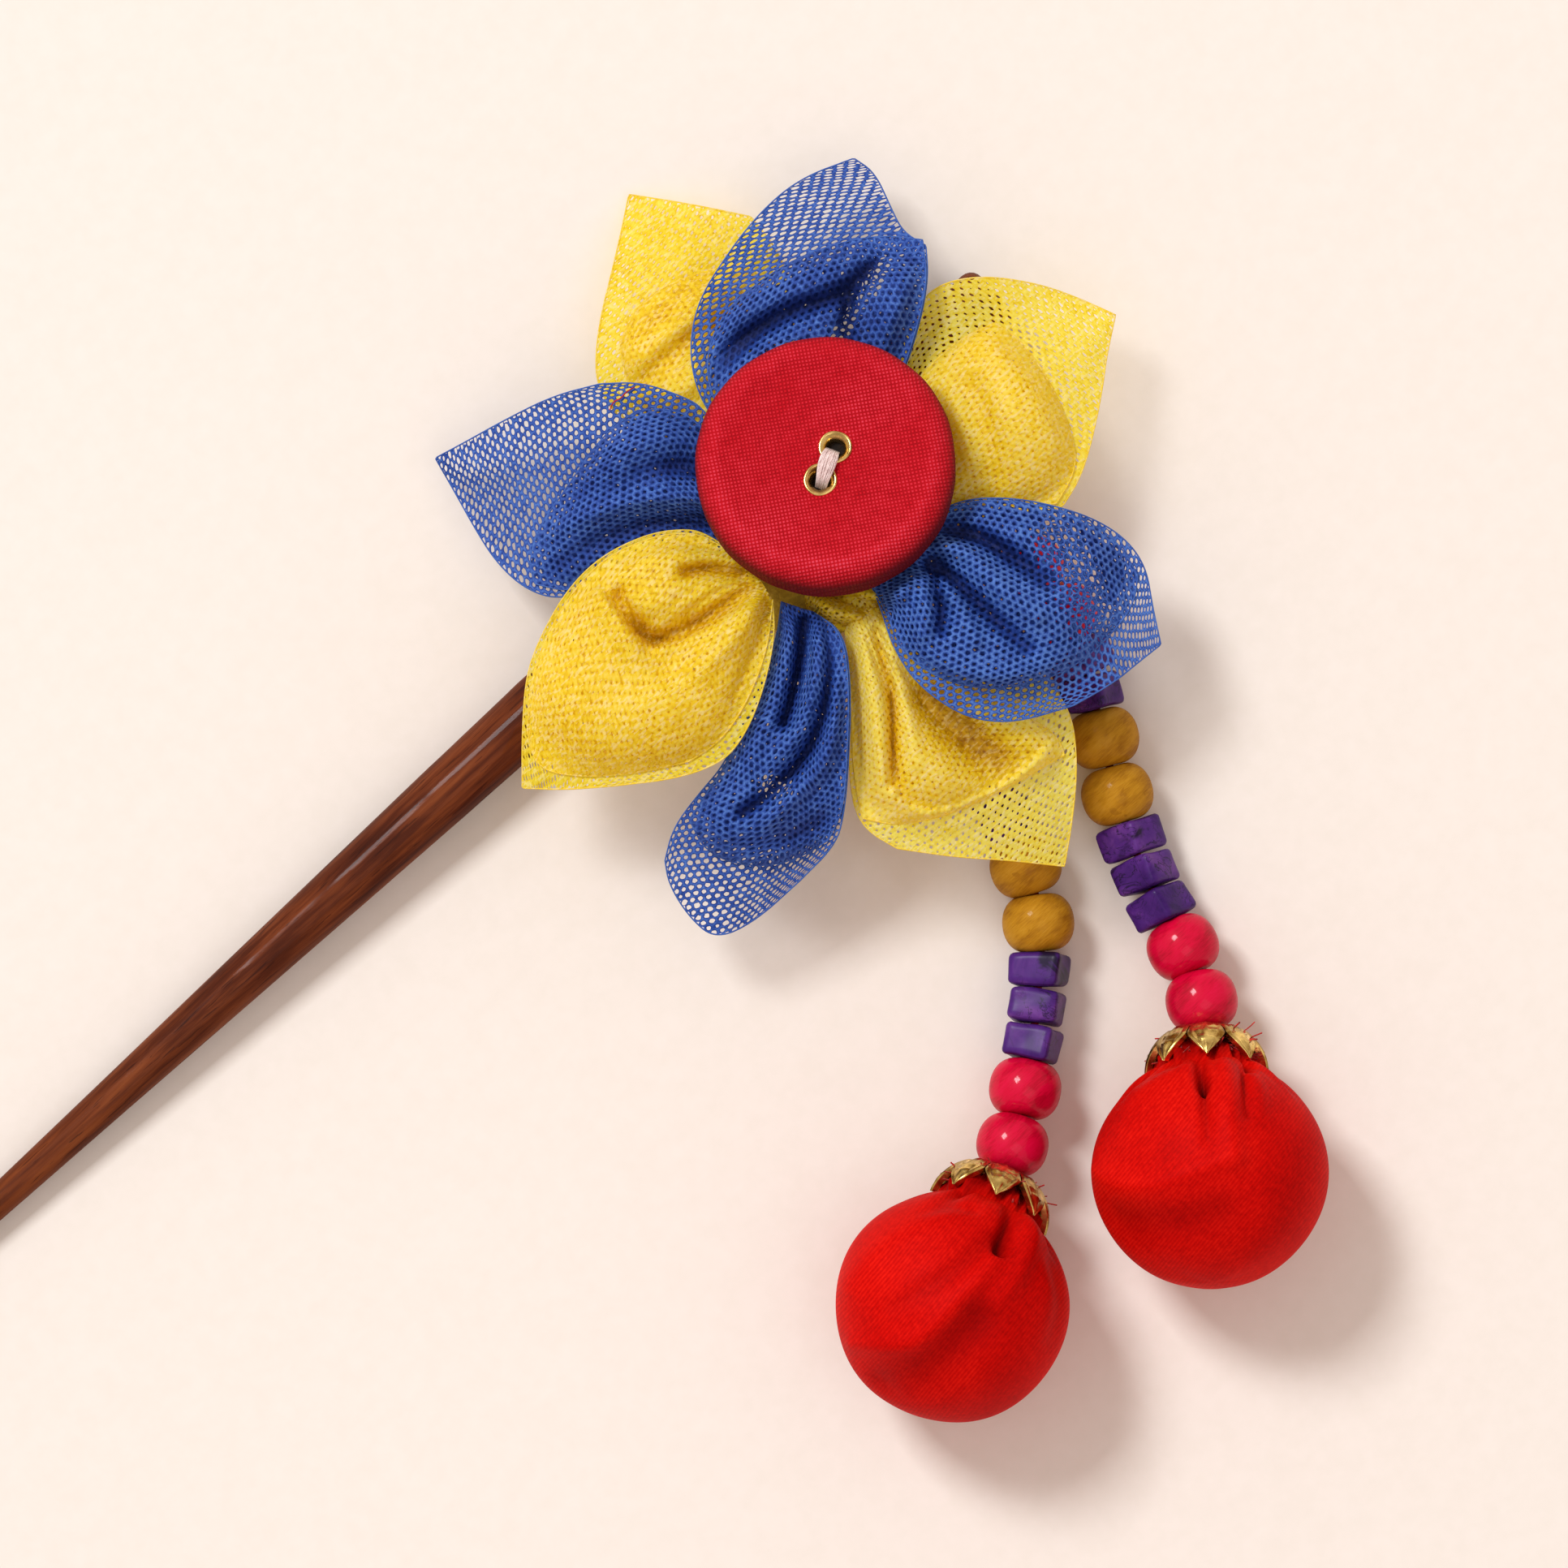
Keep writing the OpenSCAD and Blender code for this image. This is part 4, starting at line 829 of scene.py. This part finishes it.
def tuft():
    """The crumpled end of the yellow net that shows between two petals below the button."""
    heights = solid_heights("flower_base")
    heights["under"] = heights["under"] + heights["thick"]
    heights["thick"] = np.full_like(heights["thick"], 3.2)
    made = {"root": [(996, 716), (1062, 712)],
            "front": ([(1090, 726), (1096, 750)], [(990, 742), (1004, 768)], [(1048, 783)]),
            "folds": [([(1000, 738), (1030, 756), (1060, 762)], 7, 1.4, 0.8),
                      ([(1008, 728), (1045, 743), (1085, 745)], 5, -1.6, -1.2),
                      ([(1030, 722), (1060, 732), (1090, 738)], 7, 1.2, 0.8),
                      ([(1000, 752), (1020, 768), (1050, 774)], 5, -1.4, -1.0),
                      ([(1052, 735), (1058, 755)], 5, -1.0, -0.6)]}
    surface, painted_shade, _ = layer_surface(made, "front", heights)
    # 0.78: the tuft's net is painted darker, as painted shade below the button.
    vertices, faces, tone = net_layer(surface, painted_shade, PITCH * 0.9, 0.6, 0.34, 0.08, 0.78, True, 91)
    new_piece("tuft_yellow", vertices, faces, "net_yellow", tone=tone)


for name in PETALS:
    petal(name)
tuft()


def shape_of(node):
    """Middle of a node's surface, the direction in which it reaches least, and its points."""
    mesh = nodes[node].data
    mesh.calc_loop_triangles()
    co = np.array([v.co for v in mesh.vertices]) / MM
    tri = np.array([t.vertices for t in mesh.loop_triangles])
    a, b, c = co[tri[:, 0]], co[tri[:, 1]], co[tri[:, 2]]
    area = np.linalg.norm(np.cross(b - a, c - a), axis=1) / 2
    mid = (a + b + c) / 3
    centre = (mid * area[:, None]).sum(0) / area.sum()
    off = mid - centre
    _, vectors = np.linalg.eigh((off * area[:, None]).T @ off)
    return centre, vectors[:, 0], co


def frame_of(axis, turn=0.0):
    """Axes of a piece whose own +Z points along a direction, turned about it as the solids are."""
    axis = axis / np.linalg.norm(axis)
    turns = ((math.atan2(axis[1], axis[0]), "Z"), (math.acos(axis[2]), "Y"), (math.radians(turn), "Z"))
    first, second, third = (Matrix.Rotation(angle, 3, about) for angle, about in turns)
    return np.array(first @ second @ third)


def placed(points, axes, centre):
    return np.asarray(points) @ axes.T + centre


# The beads of both strands, from the flower to the ball: kind, and the turn of each about the thread, which
# differs between the strands. Diameter, length and bore of a round bead; side and thickness of a chip.
KINDS = ["pink", "pink", "chip", "chip", "mustard", "mustard", "chip", "chip", "chip", "pink", "pink"]
TURNS = [0, 0, 6, -8, 0, 0, 3, -3, 4, 0, 0]
STRAND_TURN = {"a": 12, "b": 36}
BEAD = (7.3, 5.6, 1.4)
CHIP = (5.1, 3.3)


def round_bead(draw):
    """A turned bead with soft shoulders and a small chamfer at its bore."""
    radius, half, bore = BEAD[0] / 2, BEAD[1] / 2 + 0.09, BEAD[2] / 2
    shoulder = 2.35 + draw.uniform(-0.15, 0.15)
    outer = [(radius - shoulder + shoulder * abs(math.cos(a)) ** 0.92,
              half * math.copysign(abs(math.sin(a)) ** 0.94, a))
             for a in np.radians(np.linspace(-90, 90, 25))]
    return lathe([(bore, 0), (bore, -half + 0.25), (bore + 0.22, -half), *outer, (bore + 0.22, half),
                  (bore, half - 0.25), (bore, 0)], 48)


def chip_block(draw):
    """A stone chip: a block with soft, uneven edges and corners."""
    half = np.array([CHIP[0] / 2, CHIP[0] / 2, CHIP[1] / 2 + 0.06])
    n, soft = 14, 0.62
    grid = np.linspace(-1, 1, n)
    sides = []
    for axis in range(3):
        for sign in (-1, 1):
            p = np.zeros((n, n, 3))
            p[..., axis] = sign
            p[..., (axis + 1) % 3], p[..., (axis + 2) % 3] = np.meshgrid(grid, grid, indexing="ij")
            sides.append((p.reshape(-1, 3), grid_faces(n, n, turned=True)[:, ::sign]))
    cube, faces = joined(sides)
    box = cube * half
    core = np.clip(box, -(half - soft), half - soft)
    out = box - core
    length = np.linalg.norm(out, axis=1, keepdims=True)
    reach = np.abs(out).max(axis=1, keepdims=True)
    box = core + out * np.where(length > 1e-9, reach / np.maximum(length, 1e-9), 1)
    lean = draw.uniform(-0.05, 0.05, (3, 3))
    box = box + box @ lean.T * [[1, 1, 0.6]]
    waves = draw.uniform(0.6, 1.4, (3, 3))
    return box + 0.07 * np.sin(box @ waves + draw.uniform(0, 6, 3)), faces


for strand in "ab":
    names = [f"bead_{strand}{k + 1}" for k in range(len(KINDS))]
    places = [shape_of(name) for name in names]
    for k, (name, kind) in enumerate(zip(names, KINDS)):
        draw = np.random.default_rng(100 + 20 * (strand == "b") + k)
        centre, axis, _ = places[k]
        towards = places[min(k + 1, len(KINDS) - 1)][0] - places[max(k - 1, 0)][0]
        axes = frame_of(axis * np.sign(axis @ towards), STRAND_TURN[strand] + TURNS[k])
        points, faces = chip_block(draw) if kind == "chip" else round_bead(draw)
        slot = "chip_purple" if kind == "chip" else "bead_" + kind
        new_piece("looks_" + name, placed(points, axes, centre), faces, slot, name)

# Cloth balls. Folds lie in the picture: line, half width, height at its start and at its end.
BALL_FOLDS = {
    "a": [([(1247, 1485), (1238, 1515), (1233, 1536)], 9, -1.2, -2.4),
          ([(1262, 1486), (1268, 1530), (1246, 1575), (1228, 1600)], 14, 1.4, 0.3),
          ([(1225, 1488), (1160, 1500), (1090, 1530), (1050, 1580)], 18, 0.4, 0.5),
          ([(1228, 1545), (1192, 1585), (1150, 1632), (1118, 1655), (1052, 1650)], 13, 0.7, 0.5),
          ([(1222, 1520), (1170, 1565), (1100, 1605)], 13, -0.6, -0.3),
          ([(1205, 1620), (1150, 1685), (1090, 1700)], 28, -1.1, -0.7),
          ([(1300, 1545), (1312, 1600), (1296, 1650)], 12, -0.7, -0.3),
          ([(1200, 1490), (1170, 1482), (1140, 1490)], 8, -0.5, -0.2)],
    "b": [([(1478, 1300), (1475, 1316), (1479, 1332)], 6, -1.2, -2.4),
          ([(1479, 1332), (1484, 1402)], 6, -1.2, -0.3),
          ([(1504, 1305), (1508, 1350), (1514, 1418)], 15, 1.3, 0.6),
          ([(1530, 1318), (1533, 1372)], 5, -1.0, -0.5),
          ([(1545, 1320), (1550, 1370)], 10, 0.6, 0.2),
          ([(1462, 1308), (1410, 1335), (1372, 1385)], 16, 0.7, 0.2),
          ([(1450, 1306), (1425, 1316), (1400, 1332)], 7, -0.9, -0.4),
          ([(1347, 1440), (1394, 1462), (1443, 1450), (1484, 1432), (1517, 1426)], 15, 0.6, 0.5),
          ([(1370, 1500), (1430, 1508), (1500, 1490)], 28, -1.0, -0.6)],
}
BALL_DIAMETER, BALL_LENGTH = 24.0, 23.4
# Radius and height over the ball's top of the sections of its neck
NECK = ((5.0, -2.5), (4.6, -2.0), (4.1, -1.5), (3.5, -1.0), (2.8, -0.5), (2.0, -0.2), (0.9, -0.2),
        (0.9, -1.4))


def cloth_ball(strand):
    """A ball of satin with folds, pleats up to its neck and a ruffled neck. It gives its direction too."""
    ball_centre, _, co = shape_of("ball_" + strand)
    axis = shape_of("cap_" + strand)[0] - ball_centre
    axis /= np.linalg.norm(axis)
    reach = (co - ball_centre) @ axis
    half = BALL_LENGTH / 2
    centre = ball_centre + axis * (reach.min() + half)
    top = reach.max() - reach.min() - half
    axes = frame_of(axis)
    draw = np.random.default_rng(31 if strand == "a" else 57)
    rings, segments, last = 100, 168, 63.0
    end = math.radians(last)
    angles = np.radians(np.linspace(-90, last, rings))
    turn = np.arange(segments) * 2 * PI / segments
    share = smooth(math.radians(5), end, angles)[:, None]
    creases = np.zeros((rings, segments))
    for _ in range(17):
        at_turn = draw.uniform(0, 2 * PI)
        wide = draw.uniform(0.05, 0.13)
        deep = draw.uniform(0.25, 0.8)
        rise = smooth(math.radians(draw.uniform(18, 50)), end, angles)[:, None]
        d = (turn[None] - at_turn + PI) % (2 * PI) - PI
        creases -= deep * np.exp(-(d / (wide * (1 + 0.5 * (1 - share)))) ** 2) * rise
        creases += 0.4 * deep * np.exp(-((abs(d) - 2 * wide) / wide) ** 2) * rise
    tall = angles[:, None]
    swell = sum(draw.uniform(0.04, 0.13) * np.sin(turn[None] * m + draw.uniform(0, 6)) * np.cos(tall)
                * np.cos(tall * draw.integers(1, 4) + draw.uniform(0, 6)) for m in (2, 3, 4, 5))
    radius = (BALL_DIAMETER / 2 * np.cos(angles))[:, None]
    height = (half * np.sin(angles))[:, None] * np.ones(segments)
    local = np.stack([radius * np.cos(turn), radius * np.sin(turn), height], -1)
    out = unit(local)
    world = placed(local + out * (creases + swell - 0.15)[..., None], axes, centre)
    normals = placed(out, axes, 0)
    folded = relief(pixels_of(world), BALL_FOLDS[strand]) * smooth(0.0, 0.45, normals[..., 2])
    world = world + normals * folded[..., None]
    world[..., 2] = np.maximum(world[..., 2], SURFACE + 0.08)
    neck = []
    for r, above in NECK:
        ring = np.stack([r * np.cos(turn), r * np.sin(turn), np.full(segments, top + above)], -1)
        if r > 1.5:
            ring[:, :2] *= 1 + 0.08 * (np.cos(turn * 13 + r) + 0.7 * np.cos(turn * 29 + 3 * r))[:, None]
            ring[:, 2] += 0.16 * np.sin(turn * 17 + 2 * r)
        neck.append(placed(ring, axes, centre))
    grid = np.concatenate([world, np.stack(neck)])
    shade = np.clip(-0.42 * folded - 0.5 * creases, 0, 0.85)
    shade = np.concatenate([shade, np.full((len(neck), segments), 0.45)])
    faces = grid_faces(len(grid), segments, around=True)
    piece = new_piece("cloth_ball_" + strand, grid.reshape(-1, 3), faces, "red_satin", "ball_" + strand,
                      shade=shade.ravel())
    return axis, draw


def bead_cap(strand, axis):
    """A cap of pointed leaves with raised rims, a rib and dots, over the top of its ball."""
    cap_centre, _, co = shape_of("cap_" + strand)
    crown_at = cap_centre + axis * ((co - cap_centre) @ axis).max()
    axes = frame_of(-axis)
    rim, height, wall, crown = 6.0, 4.6, 0.5, 1.4
    leaves, across, along = 8, 13, 28
    apart_at, widest_at = 0.30, 0.55
    half_pitch = PI / leaves
    u = np.linspace(0, 1, along)[:, None]
    v = np.linspace(-1, 1, across)[None]
    angle = u * PI / 2
    r = crown + (rim - crown) * np.sin(angle)
    h = height * (1 - np.cos(angle))
    leaf = 2.1 * np.where(u < widest_at, 0.86 + 0.14 * np.sin(np.clip((u - apart_at) / 0.25, 0, 1) * PI / 2),
                          np.maximum(0.04, 1 - np.clip((u - widest_at) / 0.45, 0, 1) ** 1.5))
    apart = smooth(apart_at, apart_at + 0.12, u)
    half_angle = (1 - apart) * half_pitch * 0.99 + apart * np.minimum(half_pitch * 0.97, leaf / r)
    edge = np.exp(-((np.abs(v) - 0.84) / 0.13) ** 2) * smooth(apart_at, apart_at + 0.1, u)
    rib = np.exp(-(v / 0.13) ** 2) * smooth(0.2, 0.4, u) * (1 - smooth(0.8, 1, u))
    dots = sum(np.exp(-(((v - side * dv) / 0.16) ** 2 + ((u - du) / 0.035) ** 2))
               for dv, du in ((0.45, 0.45), (0.4, 0.6), (0.3, 0.74)) for side in (-1, 1))
    lift = 0.24 * edge + 0.20 * rib + 0.24 * dots + 0.12 * np.cos(v * PI / 2)
    nr, nh = np.sin(angle) * height, -np.cos(angle) * (rim - crown)
    size = np.hypot(nr, nh)
    border = np.r_[np.arange(along) * across, (along - 1) * across + np.arange(1, across),
                   np.arange(along - 1)[::-1] * across + across - 1]
    parts = []
    for k in range(leaves):
        turn = k * 2 * half_pitch + v * half_angle
        for side, raised in ((1, lift), (-1, -wall)):
            rr, hh = r + nr / size * raised, h + nh / size * raised
            p = np.stack([rr * np.cos(turn), rr * np.sin(turn), hh * np.ones_like(turn)], -1)
            parts.append((p.reshape(-1, 3), grid_faces(along, across)[:, ::side]))
        parts.append((np.concatenate([parts[-2][0][border], parts[-1][0][border]]),
                      grid_faces(2, len(border), turned=True)))
    parts.append(lathe([(0.72, 0.0), (0.8, -0.06), (1.45, -0.05), (1.45, wall), (0.72, wall), (0.72, 0)], 40))
    vertices, faces = joined(parts)
    new_piece("embossed_cap_" + strand, placed(vertices, axes, crown_at), faces, "antique_brass",
              "cap_" + strand)
    return crown_at, axes


def frayed_edge(strand, crown_at, axes, draw):
    """Loose red threads that stick out between the leaves of a cap."""
    upper, lower, in_tuft = (61, 59, 34) if strand == "b" else (44, 0, 0)
    parts = []
    for k in range(upper + lower):
        turn = draw.uniform(0, 2 * PI)
        if k < in_tuft:
            turn = draw.normal(math.radians(128), 0.25)
        low = k >= upper
        ring, down = (4.0, draw.uniform(2.6, 3.6)) if low else (2.6, draw.uniform(1.2, 2.4))
        start = np.array([math.cos(turn) * ring, math.sin(turn) * ring, down])
        reach = draw.uniform(0.8, 1.6) if low else draw.uniform(1.5, 3.4)
        out = np.array([math.cos(turn + draw.normal(0, 0.25)), math.sin(turn + draw.normal(0, 0.25)),
                        draw.uniform(-0.2, 0.9)])
        steps = np.linspace(0, 1, 7)[:, None]
        bend = draw.normal(0, 0.5, 3)
        path = start + out * reach * steps + bend * steps ** 2 * 0.7
        parts.append(tube(placed(path, axes, crown_at), draw.uniform(0.05, 0.09), 4))
    new_piece("frayed_threads_" + strand, *joined(parts), "red_satin", paint="fray_red")


thread_material("fray_red", srgb(130, 6, 8), srgb(222, 34, 24))
fibre = plan(curve([(752, 507), (757, 496), (766, 493), (771, 486), (782, 479)], 24, 2))
fibre_high = at(solid_heights("petal_8_blue"), "under", fibre) + 0.62
new_piece("stray_fibre", *tube(np.concatenate([fibre, fibre_high[:, None]], 1), 0.07, 5), "red_satin",
          paint="fray_red")
for strand in "ab":
    axis, draw = cloth_ball(strand)
    frayed_edge(strand, *bead_cap(strand, axis), draw)

# Button with its eyelets and its sewing thread. It leans a little more than its node, over its lower edge.
UP = np.array([0.674, 0.738, 0.0])
BUTTON_RADIUS, BUTTON_THICK, DISH, RIM = 13.1, 6.6, 0.7, 2.3
EYES = [(1028.6, 554.0), (1010.3, 594.0)]
LEAN, LEAN_TOWARDS, LEAN_MORE = math.radians(9), math.radians(65), math.radians(6.5)
low, high = (np.array(corner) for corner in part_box("button"))
node_middle = (low + high) / 2 / MM
node_axis = np.array([math.sin(LEAN) * math.cos(LEAN_TOWARDS), math.sin(LEAN) * math.sin(LEAN_TOWARDS),
                      math.cos(LEAN)])
hinge = np.cross(node_axis, UP)
hinge /= np.linalg.norm(hinge)
button_axis = node_axis * math.cos(LEAN_MORE) + np.cross(hinge, node_axis) * math.sin(LEAN_MORE)
button_axis /= np.linalg.norm(button_axis)
lower_edge = node_middle - np.cross(hinge, node_axis) * (BUTTON_RADIUS + 0.25) - node_axis * BUTTON_THICK / 2
button_middle = lower_edge + np.cross(hinge, button_axis) * BUTTON_RADIUS + button_axis * BUTTON_THICK / 2
button_axes = frame_of(button_axis)


def on_face(pixel, above=0.0):
    """The place over the button's face that is seen at a pixel."""
    xy = plan(pixel)
    middle = button_middle + button_axis * (BUTTON_THICK / 2 - DISH)
    z = middle[2] - ((xy - middle[:2]) @ button_axis[:2]) / button_axis[2]
    return np.array([xy[0], xy[1], z]) + button_axis * above


def covered_button():
    """A disc under cotton, with a dished face, a rounded rim and a well for each eyelet."""
    half = BUTTON_THICK / 2
    flat = BUTTON_RADIUS - RIM
    quarter = PI / 2
    foot = 1.4
    profile = [(r, half - DISH * (1 - (r / flat) ** 2.2))
               for r in np.r_[0.01, np.linspace(0.15, 5.2, 44), np.linspace(5.4, flat, 26)]]
    profile += [(flat + RIM * math.sin(a), half - RIM * (1 - math.cos(a)))
                for a in np.linspace(0.08, quarter, 16)]
    profile += [(BUTTON_RADIUS - 0.1 * k / 7, z)
                for k, z in enumerate(np.linspace(half - RIM - 0.1, -half + foot, 8))]
    profile += [(BUTTON_RADIUS - 0.1 - foot * (1 - math.cos(a)), -half + foot - foot * math.sin(a))
                for a in np.linspace(0.1, quarter, 10)]
    profile += [(11.0, -half), (4.2, -half), (4.0, -half + 0.2), (3.6, -half + 1.3), (0.01, -half + 1.3)]
    points, faces = lathe(profile, 144)
    turn = np.arctan2(points[:, 1], points[:, 0])
    r = np.hypot(points[:, 0], points[:, 1])
    pucker = 0.05 * np.sin(turn * 11 + 0.8) * np.sin(turn * 5) * smooth(10, 12.5, r)
    points[:, :2] *= (1 + pucker / 13)[:, None]
    below = -(points[:, :2] @ (UP @ button_axes)[:2]) / BUTTON_RADIUS
    on_top = points[:, 2] > half - 1.2
    # Painted shade on the rounded rim and the side; on the rim's crest, wear with a painted highlight, most on
    # the lower side.
    shade = 0.88 * smooth(half - 0.15, half - 2.4, points[:, 2]) * (r > flat)
    rubbed = np.exp(-((r - flat - 0.3) / 0.65) ** 2) * on_top * (0.3 + 0.7 * smooth(-0.6, 0.7, below))
    for eye in EYES:
        spot = (on_face(eye) - button_middle) @ button_axes
        d = np.hypot(points[:, 0] - spot[0], points[:, 1] - spot[1])
        points[:, 2] -= 1.7 * smooth(1.5, 1.22, d) * on_top
    new_piece("covered_button", placed(points, button_axes, button_middle), faces, "red_cotton", "button",
              shade=shade, rubbed=rubbed)


covered_button()
# Near-black paint for the painted shadow in the eyelets' holes.
thread_material("eyelet_shadow", srgb(10, 5, 3), srgb(34, 20, 10))
EYELET = ((1.72, -0.12), (1.72, 0.05), (1.67, 0.15), (1.58, 0.21), (1.47, 0.19), (1.36, 0.12), (1.25, 0.02),
          (1.13, -0.10), (1.02, -0.24), (0.93, -0.42), (0.87, -0.65), (0.84, -0.9), (0.83, -1.3))
# A near-black disc low in each eyelet: painted shadow where the hole goes down.
EYELET_SHADOW_DISC = ((0.01, -1.25), (0.5, -1.28), (0.95, -1.3), (1.3, -1.4))
for k, eye in enumerate(EYES):
    number = 2 - k
    centre = on_face(eye, 0.02)
    points, faces = lathe(EYELET, 72)
    turn = np.arctan2(points[:, 1], points[:, 0])
    points[:, :2] *= (1 + 0.012 * np.sin(turn * 3 + k) + 0.008 * np.sin(turn * 5))[:, None]
    new_piece(f"eyelet_ring_{number}", placed(points, button_axes, centre), faces, "eyelet_brass",
              f"eyelet_{number}")
    points, faces = lathe(EYELET_SHADOW_DISC, 40)
    new_piece(f"eyelet_shadow_{number}", placed(points, button_axes, centre), faces, "strand_thread",
              paint="eyelet_shadow")


def sewing_strands():
    """A bundle of threads that arches from one eyelet to the other, wider at the upper one."""
    draw = np.random.default_rng(5)
    start, end = np.array([1025.5, 555.0]), np.array([1010.5, 602.0])
    across = np.array([0.93, 0.36])
    count, sides = 17, 5
    strands, shades = [], []
    for k in range(count):
        side = (k - count // 2) / (count // 2)
        layer = draw.uniform(-0.10, 0.16)
        drift = draw.uniform(-0.8, 0.8)
        path = []
        for t in np.linspace(0, 1, 26):
            wide = 10.2 * (1 - 0.35 * smooth(0.45, 1.0, t)) * (0.8 + 0.2 * smooth(0.0, 0.3, t))
            pixel = start + (end - start) * t + across * (side * wide + drift * math.sin(3 * t + k))
            arch = 1.75 * math.sin(PI * t) ** 0.6 * math.sqrt(1 - 0.35 * side * side)
            path.append(on_face(pixel, arch + layer * math.sin(PI * t) - 0.8))
            shades += [0.75 * max(smooth(0.78, 1.0, t), smooth(0.12, 0.0, t))] * sides
        strands.append(tube(path, 0.085, sides))
    new_piece("sewing_strands", *joined(strands), "pale_thread", "button_thread", shade=shades)


sewing_strands()

# Nodes whose own solids are shown
for name, slot in (("stick", "lacquered_wood"), ("flower_base", "base_felt"), ("thread_a", "strand_thread"),
                   ("thread_b", "strand_thread")):
    node = nodes[name]
    if not node.material_slots:
        node.data.materials.append(PAINT[slot])
    for entry in node.material_slots:
        entry.material = PAINT[slot]

# Surface, light and camera, in metres
paint = Paint("floor")
grain = paint.noise(paint.place, 500, 3, 0.6)
colour = paint.ramp(grain, (0.3, srgb(236, 227, 218)), (0.7, srgb(239, 230, 222)))
paint.done(paint.principled(Base_Color=colour, Roughness=0.9, Specular_IOR_Level=0.1))
floor_mesh = bpy.data.meshes.new("floor")
FAR = 3.0
floor_high = SURFACE * MM - 0.00005
floor_mesh.from_pydata([(-FAR, -FAR, floor_high), (FAR, -FAR, floor_high), (FAR, FAR, floor_high),
                        (-FAR, FAR, floor_high)], [], [(0, 1, 2, 3)])
floor = bpy.data.objects.new("floor", floor_mesh)
floor_mesh.materials.append(PAINT["floor"])
bpy.context.scene.collection.objects.link(floor)

middle = plan((CENTRE, CENTRE)) * MM
camera_data = bpy.data.cameras.new("camera")
camera_data.sensor_width = 36
CAMERA_DISTANCE = 3.0
camera_data.lens = camera_data.sensor_width * CAMERA_DISTANCE / (2 * CENTRE * SCALE * MM)
camera_data.clip_start = 0.05
camera_data.clip_end = 20
camera = bpy.data.objects.new("camera", camera_data)
camera.location = (*middle, SURFACE * MM + CAMERA_DISTANCE)
camera.rotation_euler = (0, 0, -ROLL)
bpy.context.scene.collection.objects.link(camera)
bpy.context.scene.camera = camera


def light(name, right, up, height, size, power, colour):
    """A soft area light, placed from the picture's middle towards its right and its top, in metres."""
    data = bpy.data.lights.new(name, "AREA")
    data.shape = "SQUARE"
    data.size = size
    data.energy = power
    data.color = colour
    lamp = bpy.data.objects.new(name, data)
    lamp.location = (middle[0] + COS_ROLL * right + SIN_ROLL * up,
                     middle[1] - SIN_ROLL * right + COS_ROLL * up, height)
    towards = lamp.location - Vector((*middle, 0))
    lamp.rotation_euler = towards.to_track_quat("Z", "Y").to_euler()
    bpy.context.scene.collection.objects.link(lamp)


light("key", -1.17, 1.27, 2.16, 0.68, 53.4, (0.93, 0.97, 1.0))
light("fill", 0.50, -0.40, 2.10, 1.20, 4.2, (0.96, 0.97, 1.0))
world = bpy.data.worlds.new("world")
bpy.context.scene.world = world
world.use_nodes = True
background = world.node_tree.nodes["Background"].inputs
background["Color"].default_value = (1.0, 0.865, 0.785, 1)
background["Strength"].default_value = 0.63
bpy.context.scene.view_settings.view_transform = "Standard"
